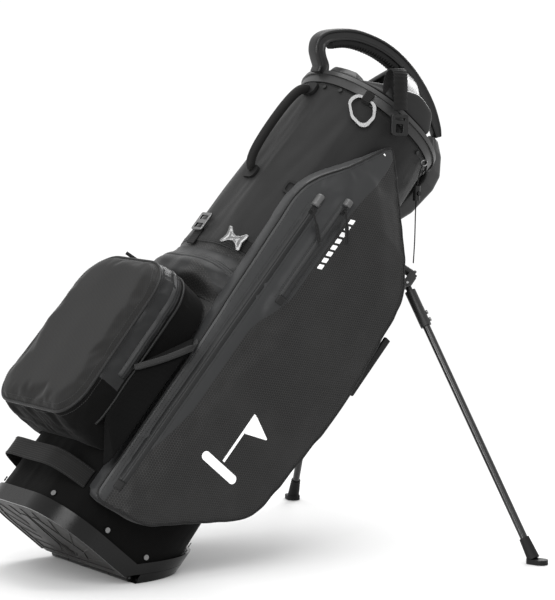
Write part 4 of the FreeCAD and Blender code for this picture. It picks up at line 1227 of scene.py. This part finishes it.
def shield():
    """The moulded shell on the leg side, edges softened and a panel sunk into its face."""
    made = softened("leg_side_shield_soft", "leg_side_shield", 2.0, COLLAR, smooth=6)
    p = coordinates(made.data) * 1000
    z = p[:, 2]
    reach = np.interp(z, [712, 750, 800, 826, 856, 876], [128, 142, 148, 147, 136, 121])
    half = np.interp(z, [712, 750, 800, 826, 856, 876], [26, 34, 38, 34, 22, 9])
    sunk = step(p[:, 0] - reach, -4, -1) * step(half - 9 - np.abs(p[:, 1]), 0, 3)
    sunk = sunk * window(z, 738, 743, 820, 826)
    p[:, 0] -= sunk * 2.0
    set_coordinates(made.data, p / 1000)


def webbing():
    """The padded spine handle and the webbing loop at the base."""
    route = spline([(-118.8, 0, 784), (-130, 0, 768), (-135, 0, 740), (-136, 0, 700), (-134, 0, 662),
                    (-129, 0, 638),
                    (-118.8, 0, 622)], 14)
    swell = 1 - 0.28 * np.exp(-((np.linspace(-1, 1, len(route)) ** 2 - 1) / 0.16) ** 2)
    shapes = circle(1.0, 20)[None] * (np.array([7.4, 6.4])[None, None] * swell[:, None, None])
    made = piece("spine_handle_soft", *sweep(route, shapes, (0, 1, 0)), TWILL, "twill_black", "bag",
                 ("spine_handle",))
    outer = route + np.column_stack([-6.9 * swell, 0 * swell, 0 * swell])
    stitches("spine_handle_stitch", outer[8:-8], np.tile([-1.0, 0, 0], (len(route) - 16, 1)), THREAD,
             slot="twill_black")
    half = [(-93, -100.5, 79), (-114, -90.5, 79), (-131, -79.5, 78.8), (-141, -66, 78.4), (-144.4, -46, 78)]
    route = spline(half + [(-144.4, 0, 77.6)] + [(x, -y, z) for x, y, z in reversed(half)], 10)
    side = np.array([(-0.9, -14.8), (0, -15.2), (0.9, -14.8), (1.15, -7), (1.2, 0), (1.15, 7), (0.9, 14.8),
                     (0, 15.2),
                     (-0.9, 14.8), (-0.7, 7), (-0.65, 0), (-0.7, -7)])
    piece("base_webbing_loop", *sweep(route, side, (0, 0, 1)), WEBBING, "webbing_black", "bag",
          ("base_webbing_handle",))
    for offset in (-12.6, 12.6):
        edge = route + (0, 0, offset)
        ahead = np.gradient(route, axis=0)
        outward = np.column_stack([-np.abs(ahead[:, 1]), 0 * ahead[:, 0], 0 * ahead[:, 0]])
        outward[:, 1] = np.where(ahead[:, 1] >= 0, ahead[:, 0], -ahead[:, 0])
        outward /= np.maximum(np.linalg.norm(outward, axis=1), 1e-9)[:, None]
        stitches("base_webbing_stitch_" + ("low" if offset < 0 else "high"), edge + outward * 1.15, outward,
                 THREAD,
                 slot="webbing_black")


def rim_strap():
    """The adjusting strap: up from its buckle, over the rim and down inside the mouth, with gathered ribs."""
    base, normal = skin(249, 0.0)
    along = np.array([-normal[1], normal[0], 0.0])
    across = np.array([0.757, 0.655])
    route = spline([(4, 812, 6.7), (-10, 828, 6.9), (-26, 846, 7.2), (-33, 855, 5.0), (-36, 859, -3),
                    (-33, 855, -13),
                    (-26, 846, -19), (-12, 829, -20.5), (4, 811, -20.5)], 16)
    path = base + np.outer(route[:, 0], along) + np.outer(route[:, 1], (0, 0, 1))
    path = path + np.outer(route[:, 2], normal)
    side = along * across[0] + np.array([0, 0, across[1]])
    up = np.cross(side, np.gradient(path, axis=0))
    ribs = 1 + 0.35 * np.sin(np.linspace(0, 2 * math.pi * 18, len(path)))
    shapes = np.array([(-12, -0.9), (12, -0.9), (12.2, 0), (12, 0.9), (0, 1.1), (-12, 0.9),
                       (-12.2, 0)])[None]
    shapes = shapes * np.stack([0 * ribs + 1, ribs], -1)[:, None]
    piece("rim_strap", *sweep(path, shapes, up), WEBBING, "webbing_black", "bag", ("rim_webbing",))


def hip_hardware():
    """The bone-shaped hook on the near side and the ladder adjuster on the spine."""
    made = copied("hip_ladder", "hip_buckles")
    mesh = bmesh.new()
    mesh.from_mesh(made.data)
    bmesh.ops.delete(mesh, geom=[v for v in mesh.verts if v.co.y < -0.03], context="VERTS")
    mesh.to_mesh(made.data)
    mesh.free()
    remesh(made, 0.8, 2)
    box_uv(made.data)
    dress(made, SILVER, "bag", ("hip_buckles",))
    centre, normal = skin(222, 500.0)
    along = np.array([-normal[1], normal[0], 0.0])
    half = [(-39, 14), (-34, 15), (-29, 8), (-21, 4.5), (-13, 8), (-8, 15), (-3, 14), (-4, 7)]
    outline = half + [(-6, 0)] + [(x, -z) for x, z in reversed(half)] + [(-36.2, -7), (-35, 0), (-36.2, 7)]
    flat = rounded(outline, 1.4, 0.8)
    spine = np.array([(-21.0, 0.0)])
    layers = []
    for rise, share in ((5.4, 0.96), (6.0, 1.0), (8.6, 1.0), (9.4, 0.94), (9.2, 0.55), (8.4, 0.5)):
        at = spine + (flat - spine) * share
        layers.append(centre + np.outer(at[:, 0], along) + np.outer(at[:, 1], (0, 0, 1)) + normal * rise)
    count = len(flat)
    faces = grid_faces(len(layers), count, True)
    faces += end_caps(len(layers), count)
    piece("hip_hook", np.vstack(layers), faces, SILVER, "silver_metal")


def soft_copies():
    """Smaller sewn and moulded parts whose CAD shape is right and only needs softer edges."""
    for name, node, voxel, material, slot, body in (
            ("towel_ring_loop_soft", "towel_ring_loop", 0.8, WEBBING, "webbing_black", "bag"),
            ("hip_webbing_soft", "hip_webbing", 0.8, WEBBING, "webbing_black", "bag"),
            ("strap_buckle_soft", "strap_buckle", 0.8, BUCKLE, "buckle_black", "strap_socket")):
        softened(name, node, voxel, material, body, smooth=2)


def finish_hard_parts():
    """Materials for the solids that are shown as they are."""
    choices = {
        "base_boot": BOOT, "heel_flap": BOOT, "tread_plate": SOLE, "boot_rivets": STEEL,
        "heel_hinge_pin": STEEL,
        "top_collar": COLLAR, "collar_rivets": BUCKLE, "stay_rods": WIRE, "spine_handle_anchors": RUBBER,
        "long_zip_pull": CORD, "short_zip_pull": CORD, "ball_zip_pull": CORD, "emblem": PRINT,
        "dash_band": PRINT,
        "towel_ring": SILVER, "ring_patch": RUBBER, "leg_bracket": LEG_HEAD, "leg_pivot_pins": STEEL,
        "leg_springs": WIRE, "actuator_rod": WIRE, "cord_lock": BUCKLE, "cord_lock_button": BUCKLE,
        "cord_hook": STEEL}
    for side in ("near", "far"):
        choices.update({side + "_leg_sleeve": LEG_HEAD, side + "_leg_bolts": STEEL,
                        side + "_leg_tube": LEG_TUBE,
                        side + "_leg_foot": RUBBER})
    for name, material in choices.items():
        for slot in nodes[name].material_slots:
            slot.material = material


tube = bag_shell()
seams_on_tube(tube)
dividers()
mouth()
sew_side_pockets()
ball_pocket()
valuables_pocket()
stretch_pocket()
top_handle()
shield()
webbing()
soft_copies()
rim_strap()
hip_hardware()
finish_hard_parts()

for made in DRAWN:
    made.data.transform(UPRIGHT)
    made.matrix_world = Matrix.Identity(4)

low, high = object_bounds()
{"cad": [list(cad_low), list(cad_high)], "visual": [list(low), list(high)]}
